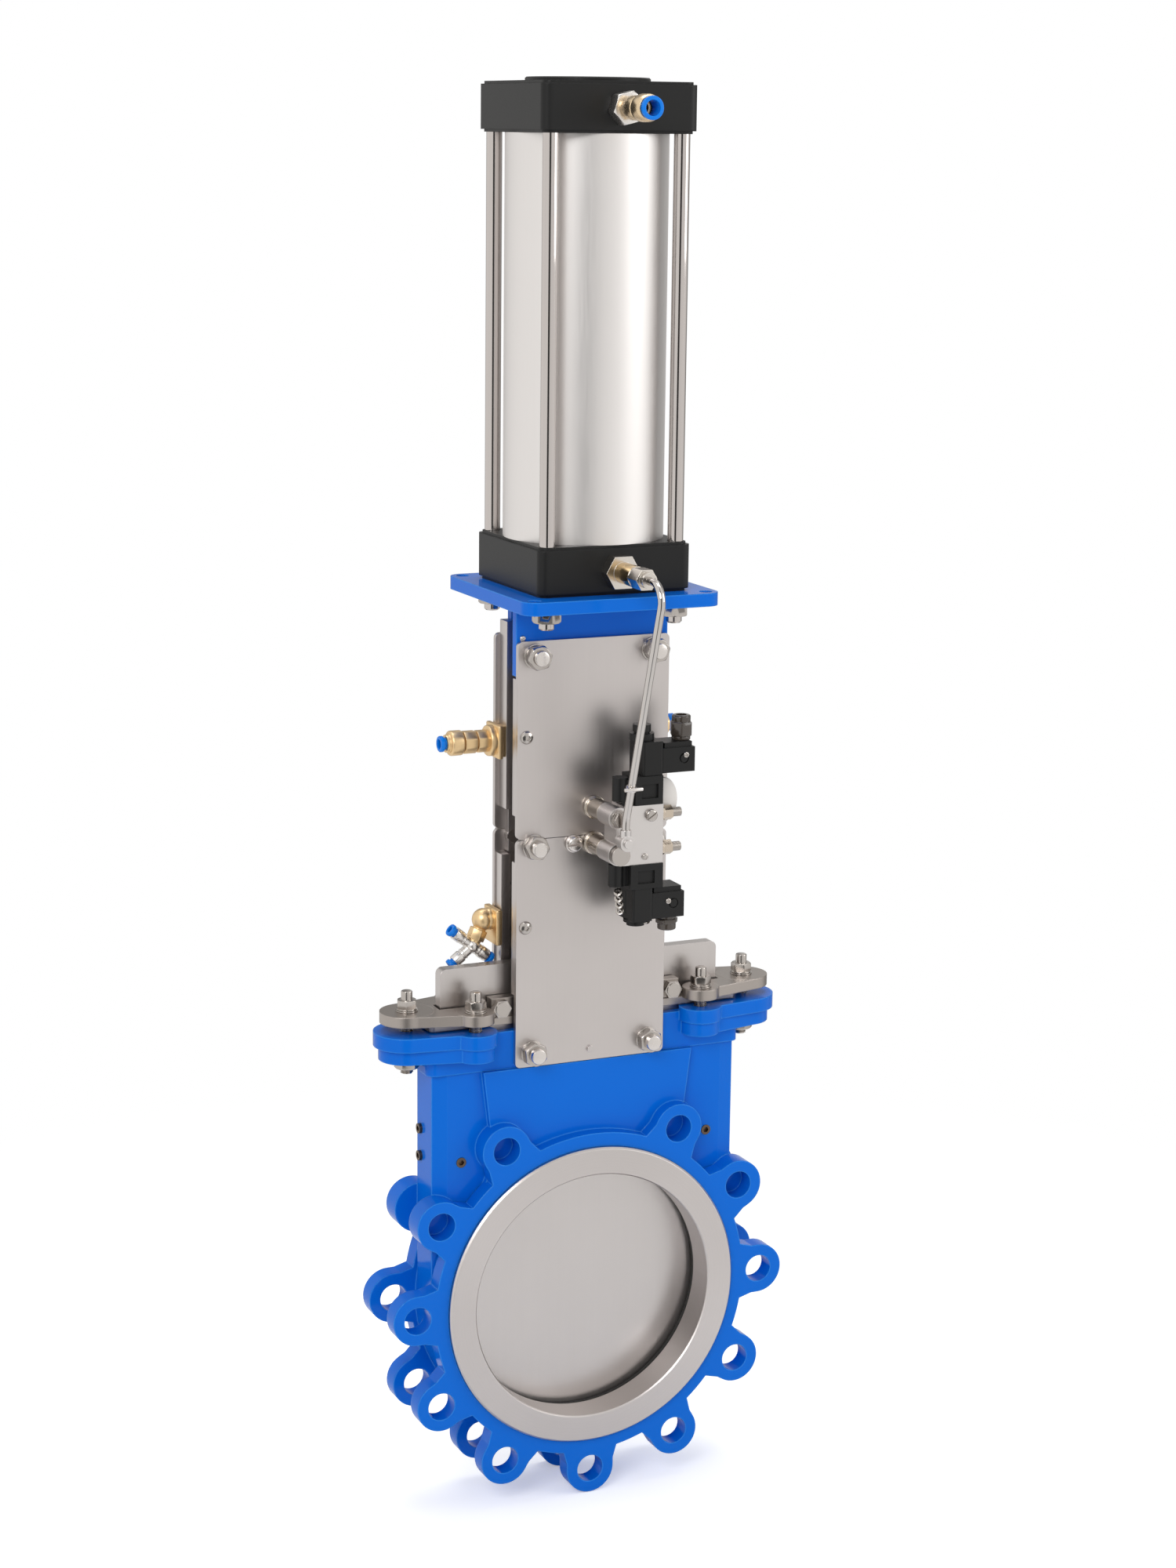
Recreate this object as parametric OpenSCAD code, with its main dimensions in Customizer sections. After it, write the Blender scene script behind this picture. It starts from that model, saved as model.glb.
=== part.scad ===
// Pneumatic knife gate valve, lugged wafer body, double-acting cylinder and solenoid valve.
// X runs across the pipe, Y along the pipe, Z up. The origin is the centre of the front face.

/* [Flow bore and faces] */
// Bore of the pipe and of both seat rings
bore_d = 200; // [190:1:206]
// Distance between the two flange faces
face_to_face = 76; // [74:1:84]
// Outer diameter of the raised stainless face
seat_face_d = 244; // [238:1:252]
// Thickness of the flange part of a seat ring
seat_face_t = 8; // [6:0.5:9]
// How far the stainless face stands proud of the painted face
raise_h = 4; // [3:0.5:5]
// Wall of the seat ring's sleeve inside the body
sleeve_wall = 8; // [7:0.5:9]
// Outer diameter of the painted flange ring
flange_d = 266; // [262:1:272]
// Width of the rubber seal between sleeve and gate
seal_w = 6; // [5:0.5:7]

/* [Bolting lugs] */
// Pitch circle of the flange bolts
bolt_pcd = 295; // [290:1:300]
// Flange bolt hole
bolt_hole_d = 22; // [18:1:23]
// Rounded end of a lug
lug_r = 20; // [18:0.5:21]
// Thickness of a lug along the pipe
lug_t = 15; // [12:0.5:16]
// Width of a lug where it leaves the flange ring
lug_root_w = 50; // [44:1:54]
// Places on the pitch circle, the one on top is left out
lug_places = 12; // [8:4:16]

/* [Gate] */
// Width of the gate blade
gate_w = 236; // [230:1:240]
// Thickness of the gate blade
gate_t = 10; // [8:0.5:11]
// Height of the gate's top edge above the pipe centre when shut
gate_top = 270; // [268:1:276]
// Travel of the gate from shut to open
gate_stroke = 212; // [200:1:214]
// Running gap on each side of the gate
gate_gap = 0.5; // [0.3:0.1:0.8]
// Thickness of the plastic strips that guide the gate's edges
guide_t = 3; // [2:0.5:4]

/* [Body chest] */
// Width of the chest above the bore
chest_w = 258; // [254:1:262]
// Depth of the chest's side walls
chest_side_t = 30; // [26:1:32]
// Depth of the chest at its front and rear faces
chest_t = 36; // [35:0.5:38]
// Width of the bevel between side wall and face
chest_bevel = 12; // [8:1:16]
// Depth over the raised middle panels
panel_t = 46; // [44:1:50]
// Width of the middle panel at its top
panel_w = 178; // [170:1:186]
// Depth over the two top bands, on which the yoke plates seat
band_t = 40; // [38:0.5:42]
// Width of the lower top band
band_w = 266; // [262:1:270]
// Height of the underside of the lower top band
band_z = 190; // [188:1:192]
// Height of the packing box rim
rim_z = 220; // [218:1:222]
// Thickness of each of the two layers of the blue pads under the clamps
pad_t = 11; // [9:1:13]

/* [Packing and gland] */
// Depth of the packing box along the gate
box_t = 26; // [24:1:28]
// Clearance of the packing box beyond each edge of the gate
box_side = 8; // [7:0.5:9]
// Height of one packing ring
packing_h = 9; // [8:0.5:10]
// Number of packing rings
packing_count = 4; // [3:1:4]
// Length of the gland's skirt inside the packing box
gland_skirt = 16; // [12:1:18]
// Thickness of the gland's flange
gland_flange_t = 6; // [5:0.5:8]
// Height of the bars on the gland
gland_bar_h = 15; // [12:1:16]
// Thickness of the three-lobed clamps
clamp_t = 8.5; // [7:0.5:10]
// Place of the end studs from the middle
end_stud_x = 143.5; // [142:0.5:146]
// Place of the side studs from the middle
side_stud_x = 96; // [94:0.5:98]
// Side studs' distance from the mid-plane
side_stud_y = 23; // [22.5:0.5:25]
// Diameter of all the studs
stud_d = 10; // [8:1:10]
// Across flats of the nuts on the studs
nut_af = 17; // [15:0.5:18]

/* [Yoke] */
// Width of the yoke plates
yoke_w = 126; // [122:1:130]
// Thickness of the yoke plates
plate_t = 4; // [3:0.5:5]
// Height of the bottom edge of the lower plates
yoke_z0 = 190.5; // [190.5:0.5:193]
// Height of the seam between lower and upper plates
seam_z = 371; // [360:1:380]
// Height of the top edge of the upper plates
yoke_z1 = 524; // [520:1:530]
// Distance of the plate bolts from the middle
yoke_bolt_x = 49; // [45:0.5:52]
// Gap at the seam
seam_gap = 0.5; // [0.3:0.1:1]

/* [Actuator bracket] */
// Side of the square bracket plate
bracket_w = 160; // [154:1:166]
// Thickness of the bracket plate
bracket_t = 10; // [8:0.5:12]
// Height of the underside of the bracket plate
bracket_z = 552; // [552:1:556]
// Thickness of the bracket's two webs
web_t = 7; // [6:0.5:7.5]
// Height of the webs' lower edge
web_z = 497; // [495:1:500]

/* [Cylinder] */
// Side of the square end caps
cap_w = 124; // [122:1:128]
// Height of the lower end cap
cap_low_h = 37; // [34:1:40]
// Height of the upper end cap
cap_up_h = 37; // [34:1:40]
// Rounding of the end caps' corners
cap_corner = 7; // [4:0.5:9]
// Length of tube between the caps
tube_len = 299; // [297:1:306]
// Outer diameter of the cylinder tube
tube_od = 122; // [119:0.5:123]
// Wall of the cylinder tube
tube_wall = 4; // [3:0.25:5]
// Distance between the tie rods along a side of the cap
tie_pitch = 105; // [104:0.5:107]
// Diameter of the tie rods
tie_d = 12; // [10:0.5:12]
// Height of the piston
piston_h = 34; // [30:1:34]
// Diameter of the piston rod
rod_d = 22; // [18:1:24]
// How far each cap reaches into the tube
spigot_h = 16; // [14:1:16]
// Diameter of the air ports' fittings across flats
port_af = 22; // [19:0.5:24]

/* [Solenoid valve] */
// Width of the valve block
block_w = 39; // [36:0.5:41]
// Height of the valve block
block_h = 46; // [44:0.5:50]
// Depth of the valve block
block_t = 22; // [20:0.5:24]
// Gap between the yoke plate and the block
standoff_len = 26; // [24:0.5:30]
// Height of the valve block's middle
block_z = 379; // [376:0.5:384]
// Distance between the two standoffs
standoff_pitch = 28; // [26:0.5:30]
// Width of a coil
coil_w = 17; // [15:0.5:18]
// Depth of a coil
coil_t = 26; // [24:0.5:28]
// Diameter of the air tube
air_tube_d = 6; // [5:0.5:8]

/* [Hidden] */
$fn = 96;
round_fn = 48;
small_fn = 32;
fit = 0.1;
steel = "lightsteelblue";
blue = [0.02, 0.41, 0.86];
brass = [0.80, 0.62, 0.30];
black = [0.10, 0.10, 0.11];

mid_y = face_to_face / 2;
flange_r = flange_d / 2;
pcd_r = bolt_pcd / 2;
lug_step = 360 / lug_places;
top_place = lug_places / 4;
face_y = raise_h;
hub_r = chest_w / 2;
sleeve_r = bore_d / 2 + sleeve_wall;
slot_w = gate_w + 2 * guide_t + 2 * gate_gap;
slot_t = gate_t + 2 * gate_gap;
slot_r = gate_w / 2 + gate_gap + guide_t;
seal_y = mid_y - slot_t / 2 - seal_w;
box_w = gate_w + 2 * box_side;
gland_w = box_w - 0.6;
gland_t = box_t - 0.6;
gland_slot_w = gate_w + 2;
gland_slot_t = gate_t + 2;
pad_z = rim_z + 4;
gland_z = rim_z + 5;
gland_flange_z = gland_z + gland_flange_t;
gland_flange_w = 262;
gland_flange_d = 2 * side_stud_y - stud_d - 1;
packing_z = gland_z - gland_skirt - packing_h * packing_count;
box_z = packing_z;
clamp_z = gland_flange_z;
clamp_top = clamp_z + clamp_t;
nut_h = 8;
washer_t = 2;
washer_d = stud_d * 2;
stud_over = 6;
pad_end_r = 26;
pad_side_r = 17;
clamp_end_r = 21;
clamp_side_r = 14.5;
plate_y = mid_y - band_t / 2 - plate_t;
plate_corner = 4;
strap_t = 6;
strap_h = 34;
yoke_low_z = 202;
yoke_mid_z = 365.5;
yoke_up_z = 512.5;
rail_w = 7;
rail_front_t = 8;
rail_rear_t = 12;
rail_top_z = 540;
rail_z0 = gland_flange_z + gland_bar_h + 2;
web_w = yoke_w;
cap_z = bracket_z + bracket_t;
tube_z = cap_z + cap_low_h;
cap_up_z = tube_z + tube_len;
cap_top = cap_up_z + cap_up_h;
tube_r = tube_od / 2;
tube_in = tube_r - tube_wall;
spigot_r = tube_in - fit;
piston_z = tube_z + spigot_h + 4;
piston_nut_h = 12;
piston_r = tube_in - 0.6;
rod_in_r = rod_d / 2;
clevis_w = 34;
clevis_t = gate_t + 8;
clevis_z0 = gate_top - 21;
clevis_z1 = gate_top + 32;
clevis_pin_z = gate_top - 11;
clevis_pin_d = 12;
locknut_h = 10;
rod_end_r = 8;
cap_front_y = mid_y - cap_w / 2;
port_up_z = cap_up_z + 18;
port_low_z = cap_z + 18;
tie_z0 = bracket_z - 15;
tie_z1 = cap_top - 8;
block_x0 = -2;
block_x1 = block_x0 + block_w;
block_y1 = plate_y - standoff_len;
block_y0 = block_y1 - block_t;
block_z0 = block_z - block_h / 2;
block_z1 = block_z + block_h / 2;
lobe_r = 8.5;
standoff_x = 0;
standoff_r = 6;
coil_x = 28;
coil_y = block_y1 - block_t / 2 + 2;
pilot_h = 22;
coil_h = 26;
coil_up_z = block_z1 + pilot_h;
coil_low_z = block_z0 - pilot_h + 3 - coil_h;
connector_w = 27;
connector_t = 23;
gland_x = 53;
side_x = -yoke_w / 2;
side_y = mid_y + band_t / 2;
side_up_z = 442;
side_right_z = 445;
side_low_z = 296;
bend_r = 14;
tube_start_y = cap_front_y - 44.3;
tube_out_y = cap_front_y - 63;
banjo_y = block_y0 - 12;
banjo_z = block_z - 2;
banjo_r = 6;
low_bend_r = 30;
tube_end_z = banjo_z + banjo_r + 1.3;

// Stands a flat outline drawn in X and Z upright, from y0 to y0 + h.
module slab(y0, h) {
    translate([0, y0 + h, 0]) rotate([90, 0, 0]) linear_extrude(h) children();
}

// A cylinder along the pipe, or along any line parallel to Y.
module along_y(x, y0, z, h, r) {
    translate([x, y0, z]) rotate([-90, 0, 0]) cylinder(h = h, r = r);
}

module along_x(x0, y, z, h, r) {
    translate([x0, y, z]) rotate([0, 90, 0]) cylinder(h = h, r = r);
}

module along_z(x, y, z0, h, r) {
    translate([x, y, z0]) cylinder(h = h, r = r);
}

// Turns a profile of radius and depth about the pipe's axis.
module turned_y(y0) {
    translate([0, y0, 0]) rotate([-90, 0, 0]) rotate_extrude($fn = 180) children();
}

// Hexagonal prism standing on z0, with the given size across flats.
module hex_z(x, y, z0, h, af) {
    translate([x, y, z0]) cylinder(h = h, d = af / cos(30), $fn = 6);
}

module hex_y(x, y0, z, h, af) {
    translate([x, y0, z]) rotate([-90, 0, 0]) cylinder(h = h, d = af / cos(30), $fn = 6);
}

module hex_x(x0, y, z, h, af) {
    translate([x0, y, z]) rotate([0, 90, 0]) cylinder(h = h, d = af / cos(30), $fn = 6);
}

module rear_copy() {
    translate([0, 2 * mid_y, 0]) mirror([0, 1, 0]) children();
}

module front_and_rear() {
    children();
    rear_copy() children();
}

module left_and_right() {
    children();
    mirror([1, 0, 0]) children();
}

// Block centred on the gate's mid-plane, w wide in X and t deep in Y.
module mid_block(w, t, z0, z1) {
    translate([-w / 2, mid_y - t / 2, z0]) cube([w, t, z1 - z0]);
}

// Rectangle with rounded corners made of arcs, centred on the origin.
module round_rect(w, h, r) {
    square([w - 2 * r, h], center = true);
    square([w, h - 2 * r], center = true);
    for (x = [-1, 1], y = [-1, 1]) {
        translate([x * (w / 2 - r), y * (h / 2 - r)]) circle(r, $fn = small_fn);
    }
}

// Lug angles in degrees, with the place at the top left out.
lug_angles = [for (k = [0 : lug_places - 1]) if (k != top_place) k * lug_step];
lug_root_r = flange_r - 9;

module lug_outline() {
    circle(lug_r, $fn = round_fn);
    polygon([[-lug_r, 0], [-lug_r, -6], [-lug_root_w / 2, lug_root_r - pcd_r],
             [lug_root_w / 2, lug_root_r - pcd_r], [lug_r, -6], [lug_r, 0]]);
}

module lug_plates() {
    slab(face_y, lug_t) for (a = lug_angles) {
        rotate(a - 90) translate([0, pcd_r]) lug_outline();
    }
}

// The upper lugs stand on the chest, so their bosses reach back to it.
module lug_bosses() {
    boss_d = mid_y - chest_side_t / 2 - face_y;
    slab(face_y, boss_d) for (a = lug_angles) {
        if (a > 15 && a < 165) rotate(a - 90) translate([0, pcd_r]) circle(lug_r, $fn = round_fn);
    }
}

module chest_profile() {
    x1 = chest_w / 2;
    x2 = x1 - chest_bevel;
    y1 = chest_side_t / 2;
    y2 = chest_t / 2;
    translate([0, mid_y]) polygon([[-x1, -y1], [-x2, -y2], [x2, -y2], [x1, -y1],
                                   [x1, y1], [x2, y2], [-x2, y2], [-x1, y1]]);
}

// The raised middle panel: straight sloping edges that turn out over the upper lugs.
module panel_outline() {
    w = panel_w / 2;
    right = [[w, band_z - 0.3], [w - 7, 134], [w - 11, 122], [w - 1, 98], [w + 8, 84], [w, 60]];
    left = [for (k = [len(right) - 1 : -1 : 0]) [-right[k][0], right[k][1]]];
    polygon(concat(right, left));
}

module pad_outline(end_r, side_r) {
    translate([end_stud_x, 0]) circle(end_r, $fn = round_fn);
    for (s = [-1, 1]) translate([side_stud_x, s * side_stud_y]) circle(side_r, $fn = round_fn);
    y1 = side_stud_y + side_r;
    x1 = side_stud_x + side_r * 0.75;
    polygon([[end_stud_x + end_r * 0.2, -end_r * 0.97], [x1 + 2, -y1 + side_r * 0.55],
             [side_stud_x, -side_stud_y], [side_stud_x, side_stud_y],
             [x1 + 2, y1 - side_r * 0.55], [end_stud_x + end_r * 0.2, end_r * 0.97]]);
}

module end_stud_places() {
    for (x = [-1, 1]) translate([x * end_stud_x, mid_y, 0]) children();
}

module side_stud_places() {
    for (x = [-1, 1], y = [-1, 1]) translate([x * side_stud_x, mid_y + y * side_stud_y, 0]) children();
}

module stud_places() {
    end_stud_places() children();
    side_stud_places() children();
}

module valve_body() {
    color(blue) difference() {
        union() {
            front_and_rear() along_y(0, face_y, 0, lug_t, flange_r);
            along_y(0, face_y + lug_t - 1, 0, face_to_face - 2 * (face_y + lug_t - 1), hub_r);
            linear_extrude(band_z + 2) chest_profile();
            front_and_rear() slab(mid_y - panel_t / 2, panel_t / 2) panel_outline();
            front_and_rear() lug_plates();
            front_and_rear() lug_bosses();
            translate([0, mid_y, band_z]) linear_extrude(rim_z - 14 - band_z) round_rect(band_w, band_t, 8);
            translate([0, mid_y, rim_z - 15]) linear_extrude(15) round_rect(box_w + 14, band_t, 6);
            left_and_right() translate([0, mid_y, pad_z - pad_t]) linear_extrude(pad_t) {
                pad_outline(pad_end_r, pad_side_r);
            }
            left_and_right() translate([0, mid_y, pad_z - 2 * pad_t]) linear_extrude(pad_t + 1) {
                pad_outline(pad_end_r - 4, pad_side_r - 2);
            }
        }
        along_y(0, -1, 0, face_to_face + 2, sleeve_r);
        front_and_rear() along_y(0, face_y - 1, 0, seat_face_t - raise_h + 1, seat_face_d / 2 + fit);
        front_and_rear() turned_y(seal_y) square([sleeve_r + seal_w + fit, seal_w + 1]);
        translate([-slot_w / 2, mid_y - slot_t / 2, 0]) cube([slot_w, slot_t, pad_z + 1]);
        along_y(0, mid_y - slot_t / 2, 0, slot_t, slot_r);
        mid_block(box_w, box_t, box_z, pad_z + 1);
        mid_block(2 * (side_stud_x - pad_side_r) - 2, band_t + 1, rim_z, pad_z + 1);
        end_stud_places() translate([0, 0, pad_z - 2 * pad_t - 1]) cylinder(h = 2 * pad_t + 2, d = stud_d);
        side_stud_places() translate([0, 0, pad_z - 2 * pad_t + 2]) cylinder(h = 2 * pad_t, d = stud_d);
        for (a = lug_angles) rotate([0, -a, 0]) {
            front_and_rear() along_y(pcd_r, face_y - 1, 0, lug_t + 1.5, bolt_hole_d / 2);
        }
        front_and_rear() left_and_right() along_y(yoke_bolt_x, plate_y + plate_t - 1, yoke_low_z, 7, stud_d / 2);
        front_and_rear() left_and_right() along_y(plug_x, mid_y - chest_t / 2 - 2, plug_z, 8, plug_r);
        left_and_right() for (z = [side_plug_z, side_plug_z - 22]) {
            along_x(-chest_w / 2 - 1, mid_y + 8, z, 6, plug_r);
        }
    }
}

plug_x = 105.5;
plug_z = 118;
plug_r = 4;
side_plug_z = 141;

module body_plugs() {
    color(steel) {
        front_and_rear() left_and_right() difference() {
            along_y(plug_x, mid_y - chest_t / 2 - 0.6, plug_z, 6.2, plug_r);
            hex_y(plug_x, mid_y - chest_t / 2 - 1, plug_z, 3, plug_r);
        }
        left_and_right() for (z = [side_plug_z, side_plug_z - 22]) difference() {
            along_x(-chest_w / 2 - 2.4, mid_y + 8, z, 7, plug_r);
            hex_x(-chest_w / 2 - 3, mid_y + 8, z, 3, plug_r);
        }
    }
}

// Stainless face and sleeve in one turned ring, with a bevelled outer edge.
module seat_ring() {
    r0 = bore_d / 2;
    r1 = seat_face_d / 2;
    sleeve_len = seal_y - 0.3;
    turned_y(0) polygon([[r0, 1], [r0 + 1, 0], [r1 - 1.5, 0], [r1, 1.5], [r1, seat_face_t],
                         [sleeve_r - fit, seat_face_t], [sleeve_r - fit, sleeve_len], [r0, sleeve_len]]);
}

module seat_rings() {
    color(steel) front_and_rear() seat_ring();
}

// Rubber ring with a rounded lip that stops just short of the gate.
module seat_seal() {
    r0 = bore_d / 2 + 1;
    r1 = sleeve_r + seal_w - 0.2;
    lip = seal_w + gate_gap - 0.15;
    turned_y(seal_y) polygon([[r0, 0.2], [r1, 0.2], [r1, seal_w - 0.2], [r0 + 5, seal_w - 0.2],
                              [r0 + 4, lip], [r0 + 1, lip], [r0, lip - 1.2]]);
}

module seat_seals() {
    color(black) front_and_rear() seat_seal();
}

module gate_guides() {
    color("ivory") left_and_right() {
        translate([-slot_w / 2 + 0.05, mid_y - slot_t / 2 + 0.1, 2]) {
            cube([guide_t, slot_t - 0.2, box_z - 2.2]);
        }
    }
}

// The blade: square corners eased at the top, half round at the bottom with a knife bevel.
module gate_blade() {
    r = gate_w / 2;
    color(steel) difference() {
        union() {
            along_y(0, mid_y - gate_t / 2, 0, gate_t, r);
            translate([-r, mid_y - gate_t / 2, 0]) cube([gate_w, gate_t, gate_top - 5]);
            slab(mid_y - gate_t / 2, gate_t) translate([0, gate_top - 10]) round_rect(gate_w, 20, 5);
        }
        along_y(0, mid_y - gate_t, clevis_pin_z, 2 * gate_t, clevis_pin_d / 2);
        difference() {
            translate([-r - 5, mid_y - gate_t, -r - 5]) cube([gate_w + 10, 2 * gate_t, r]);
            translate([0, mid_y - gate_t / 2 - 1, 0]) rotate([-90, 0, 0]) {
                cylinder(h = gate_t + 1.2, r1 = r - 3, r2 = r + 1.5);
            }
            along_y(0, mid_y + gate_t / 2 - 3.5, 0, 4, r + 1);
        }
    }
}

module gate_frame(w, t, slot_w1, slot_t1, z0, h) {
    translate([0, mid_y, z0]) linear_extrude(h) difference() {
        square([w, t], center = true);
        square([slot_w1, slot_t1], center = true);
    }
}

module packing_rings() {
    color("dimgray") for (k = [0 : packing_count - 1]) {
        gate_frame(gland_w, gland_t, gate_w + 0.8, gate_t + 0.6, packing_z + k * packing_h + 0.1, packing_h - 0.2);
    }
}

// Gland: skirt in the packing box, flange on top and a bar in front of and behind the gate.
module packing_gland() {
    bar_w = 2 * (side_stud_x - clamp_side_r) - 3;
    color(steel) difference() {
        union() {
            mid_block(gland_w, gland_t, gland_z - gland_skirt, gland_z);
            translate([0, mid_y, gland_z]) linear_extrude(gland_flange_t) {
                round_rect(gland_flange_w, gland_flange_d, 5);
            }
            front_and_rear() translate([-bar_w / 2, mid_y - 16, gland_flange_z - 1]) {
                cube([bar_w, 9.5, gland_bar_h + 1]);
            }
        }
        mid_block(gland_slot_w, gland_slot_t, 0, gland_flange_z + 40);
        front_and_rear() left_and_right() along_y(bar_screw_x, mid_y - 17, bar_screw_z, 9, 4);
    }
}

bar_screw_x = 73;
bar_screw_z = gland_flange_z + 7.5;

module gland_bar_screws() {
    color(steel) front_and_rear() left_and_right() {
        along_y(bar_screw_x, mid_y - 16, bar_screw_z, 7, 4 - 0.05);
        hex_y(bar_screw_x, mid_y - 22, bar_screw_z, 6, 13);
        along_y(bar_screw_x, mid_y - 23, bar_screw_z, 1.2, 5.6);
    }
}

// Three-lobed clamp that bridges the edge of the gate; the notch lets the gate pass.
module gland_clamp_right() {
    color(steel) translate([0, mid_y, clamp_z]) linear_extrude(clamp_t) difference() {
        pad_outline(clamp_end_r, clamp_side_r);
        square([gate_w + 3, gate_t + 5], center = true);
        translate([end_stud_x, 0]) circle(d = stud_d + 0.6, $fn = round_fn);
        for (s = [-1, 1]) {
            translate([side_stud_x, s * side_stud_y]) circle(d = stud_d + 0.6, $fn = round_fn);
        }
    }
}

module gland_clamp_left() {
    mirror([1, 0, 0]) gland_clamp_right();
}

module gland_stud(z0) {
    h = clamp_top + washer_t + nut_h + stud_over - z0;
    translate([0, 0, z0]) {
        cylinder(h = h - 1, d = stud_d - 0.1);
        translate([0, 0, h - 1]) cylinder(h = 1, d1 = stud_d - 0.1, d2 = stud_d - 2);
    }
}

module gland_studs() {
    color(steel) {
        end_stud_places() gland_stud(pad_z - 2 * pad_t - nut_h - 4);
        side_stud_places() gland_stud(pad_z - 2 * pad_t + 2.3);
    }
}

// A nut with chamfered corners on its washer, on a stud of the given size.
module nut_and_washer(af, h, bore, w_d, w_t) {
    difference() {
        union() {
            cylinder(h = w_t, d = w_d);
            translate([0, 0, w_t]) intersection() {
                cylinder(h = h, d = af / cos(30), $fn = 6);
                union() {
                    cylinder(h = h - 1.2, d = af * 1.16);
                    translate([0, 0, h - 1.2]) cylinder(h = 1.2, d1 = af * 1.16, d2 = af * 0.98);
                }
            }
        }
        translate([0, 0, -1]) cylinder(h = h + w_t + 2, d = bore);
    }
}

module gland_nuts() {
    color(steel) {
        stud_places() translate([0, 0, clamp_top]) {
            nut_and_washer(nut_af, nut_h, stud_d, washer_d, washer_t);
        }
        end_stud_places() translate([0, 0, pad_z - 2 * pad_t]) mirror([0, 0, 1]) difference() {
            cylinder(h = nut_h, d = nut_af / cos(30), $fn = 6);
            translate([0, 0, -1]) cylinder(h = nut_h + 2, d = stud_d);
        }
    }
}

module plate_outline(z0, z1) {
    translate([0, (z0 + z1) / 2]) round_rect(yoke_w, z1 - z0, plate_corner);
}

module plate_holes(zs) {
    for (z = zs, x = [-1, 1]) translate([x * yoke_bolt_x, z]) circle(d = stud_d + 0.4, $fn = round_fn);
}

module rail_holes(z) {
    translate([-rail_x, z]) circle(d = 6.2, $fn = small_fn);
}

rail_x = 55.5;
rail_screw_low = 302;
rail_screw_up = 450.5;
mid_stud_x = 16.5;
mark_x = 0;
mark_z = 199.5;

module lower_plate() {
    slab(plate_y, plate_t) difference() {
        plate_outline(yoke_z0, seam_z - seam_gap / 2);
        plate_holes([yoke_low_z, yoke_mid_z]);
        rail_holes(rail_screw_low);
        translate([-mid_stud_x, yoke_mid_z]) circle(d = stud_d + 0.4, $fn = round_fn);
        translate([standoff_x, block_z - standoff_pitch / 2]) circle(d = 6.4, $fn = small_fn);
    }
    along_y(mark_x, plate_y - 1.6, mark_z, 2, 2.6);
}

module upper_plate() {
    slab(plate_y, plate_t) difference() {
        plate_outline(seam_z + seam_gap / 2, yoke_z1);
        plate_holes([yoke_up_z]);
        rail_holes(rail_screw_up);
        translate([standoff_x, block_z + standoff_pitch / 2]) circle(d = 6.4, $fn = small_fn);
    }
}

module yoke_plate_front_lower() {
    color(steel) lower_plate();
}

module yoke_plate_front_upper() {
    color(steel) upper_plate();
}

module yoke_plate_rear_lower() {
    color(steel) rear_copy() lower_plate();
}

module yoke_plate_rear_upper() {
    color(steel) rear_copy() upper_plate();
}

// Straps behind the seam that tie the lower and upper plates together.
module yoke_splices() {
    z0 = seam_z - strap_h / 2;
    color(steel) front_and_rear() slab(plate_y + plate_t, strap_t) difference() {
        translate([-yoke_w / 2 + 9, z0]) square([yoke_w - 10, strap_h]);
        plate_holes([yoke_mid_z]);
        translate([-mid_stud_x, yoke_mid_z]) circle(d = stud_d + 0.4, $fn = round_fn);
        for (z = [-1, 1]) {
            translate([standoff_x, block_z + z * standoff_pitch / 2]) circle(d = 6.1, $fn = small_fn);
        }
    }
}

module rail_bar(t, z0, z1, screw_z) {
    x0 = -yoke_w / 2;
    difference() {
        union() {
            slab(plate_y + plate_t, t) polygon([[x0, z0], [x0 + rail_w, z0], [x0 + rail_w, z1],
                                                [x0 + rail_w - 3, z1], [x0, z1 - 6]]);
            slab(plate_y + plate_t, 4) translate([x0, screw_z - 25]) square([rail_w + 6, 50]);
        }
        along_y(-rail_x, plate_y, screw_z, plate_t + 5, 3.1);
    }
}

// Upright bars inside the left edges of the plates, which carry the side ports.
module yoke_rails() {
    low_top = seam_z - strap_h / 2 - 1;
    up_bottom = seam_z + strap_h / 2 + 1;
    color(steel) {
        rail_bar(rail_front_t, rail_z0, low_top, rail_screw_low);
        rail_bar(rail_front_t, up_bottom, web_z - 2, rail_screw_up);
        rear_copy() rail_bar(rail_rear_t, rail_z0, low_top, rail_screw_low);
        rear_copy() rail_bar(rail_rear_t, up_bottom, rail_top_z, rail_screw_up);
        rear_copy() mirror([1, 0, 0]) slab(plate_y + plate_t, rail_rear_t) {
            translate([-yoke_w / 2, side_right_z - 25]) square([rail_w, 50]);
        }
    }
}

// Threaded end, nut and washer on one face of the yoke, at the given depth into it.
module yoke_stud_places(z_list) {
    for (z = z_list, x = [-1, 1]) translate([x * yoke_bolt_x, 0, z]) children();
}

module yoke_stud(depth) {
    h = washer_t + nut_h + 5;
    along_y(0, plate_y - h, 0, h + plate_t + depth, stud_d / 2 - 0.05);
}

module yoke_studs() {
    color(steel) front_and_rear() {
        yoke_stud_places([yoke_low_z]) yoke_stud(5.5);
        yoke_stud_places([yoke_mid_z]) yoke_stud(strap_t);
        translate([-mid_stud_x, 0, yoke_mid_z]) yoke_stud(strap_t);
        yoke_stud_places([yoke_up_z]) yoke_stud(web_t);
    }
}

module yoke_nut() {
    translate([0, plate_y, 0]) rotate([90, 0, 0]) {
        nut_and_washer(nut_af, nut_h, stud_d, washer_d, washer_t);
    }
}

module yoke_nuts() {
    color(steel) front_and_rear() {
        yoke_stud_places([yoke_low_z, yoke_mid_z, yoke_up_z]) yoke_nut();
        translate([-mid_stud_x, 0, yoke_mid_z]) yoke_nut();
    }
}

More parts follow.
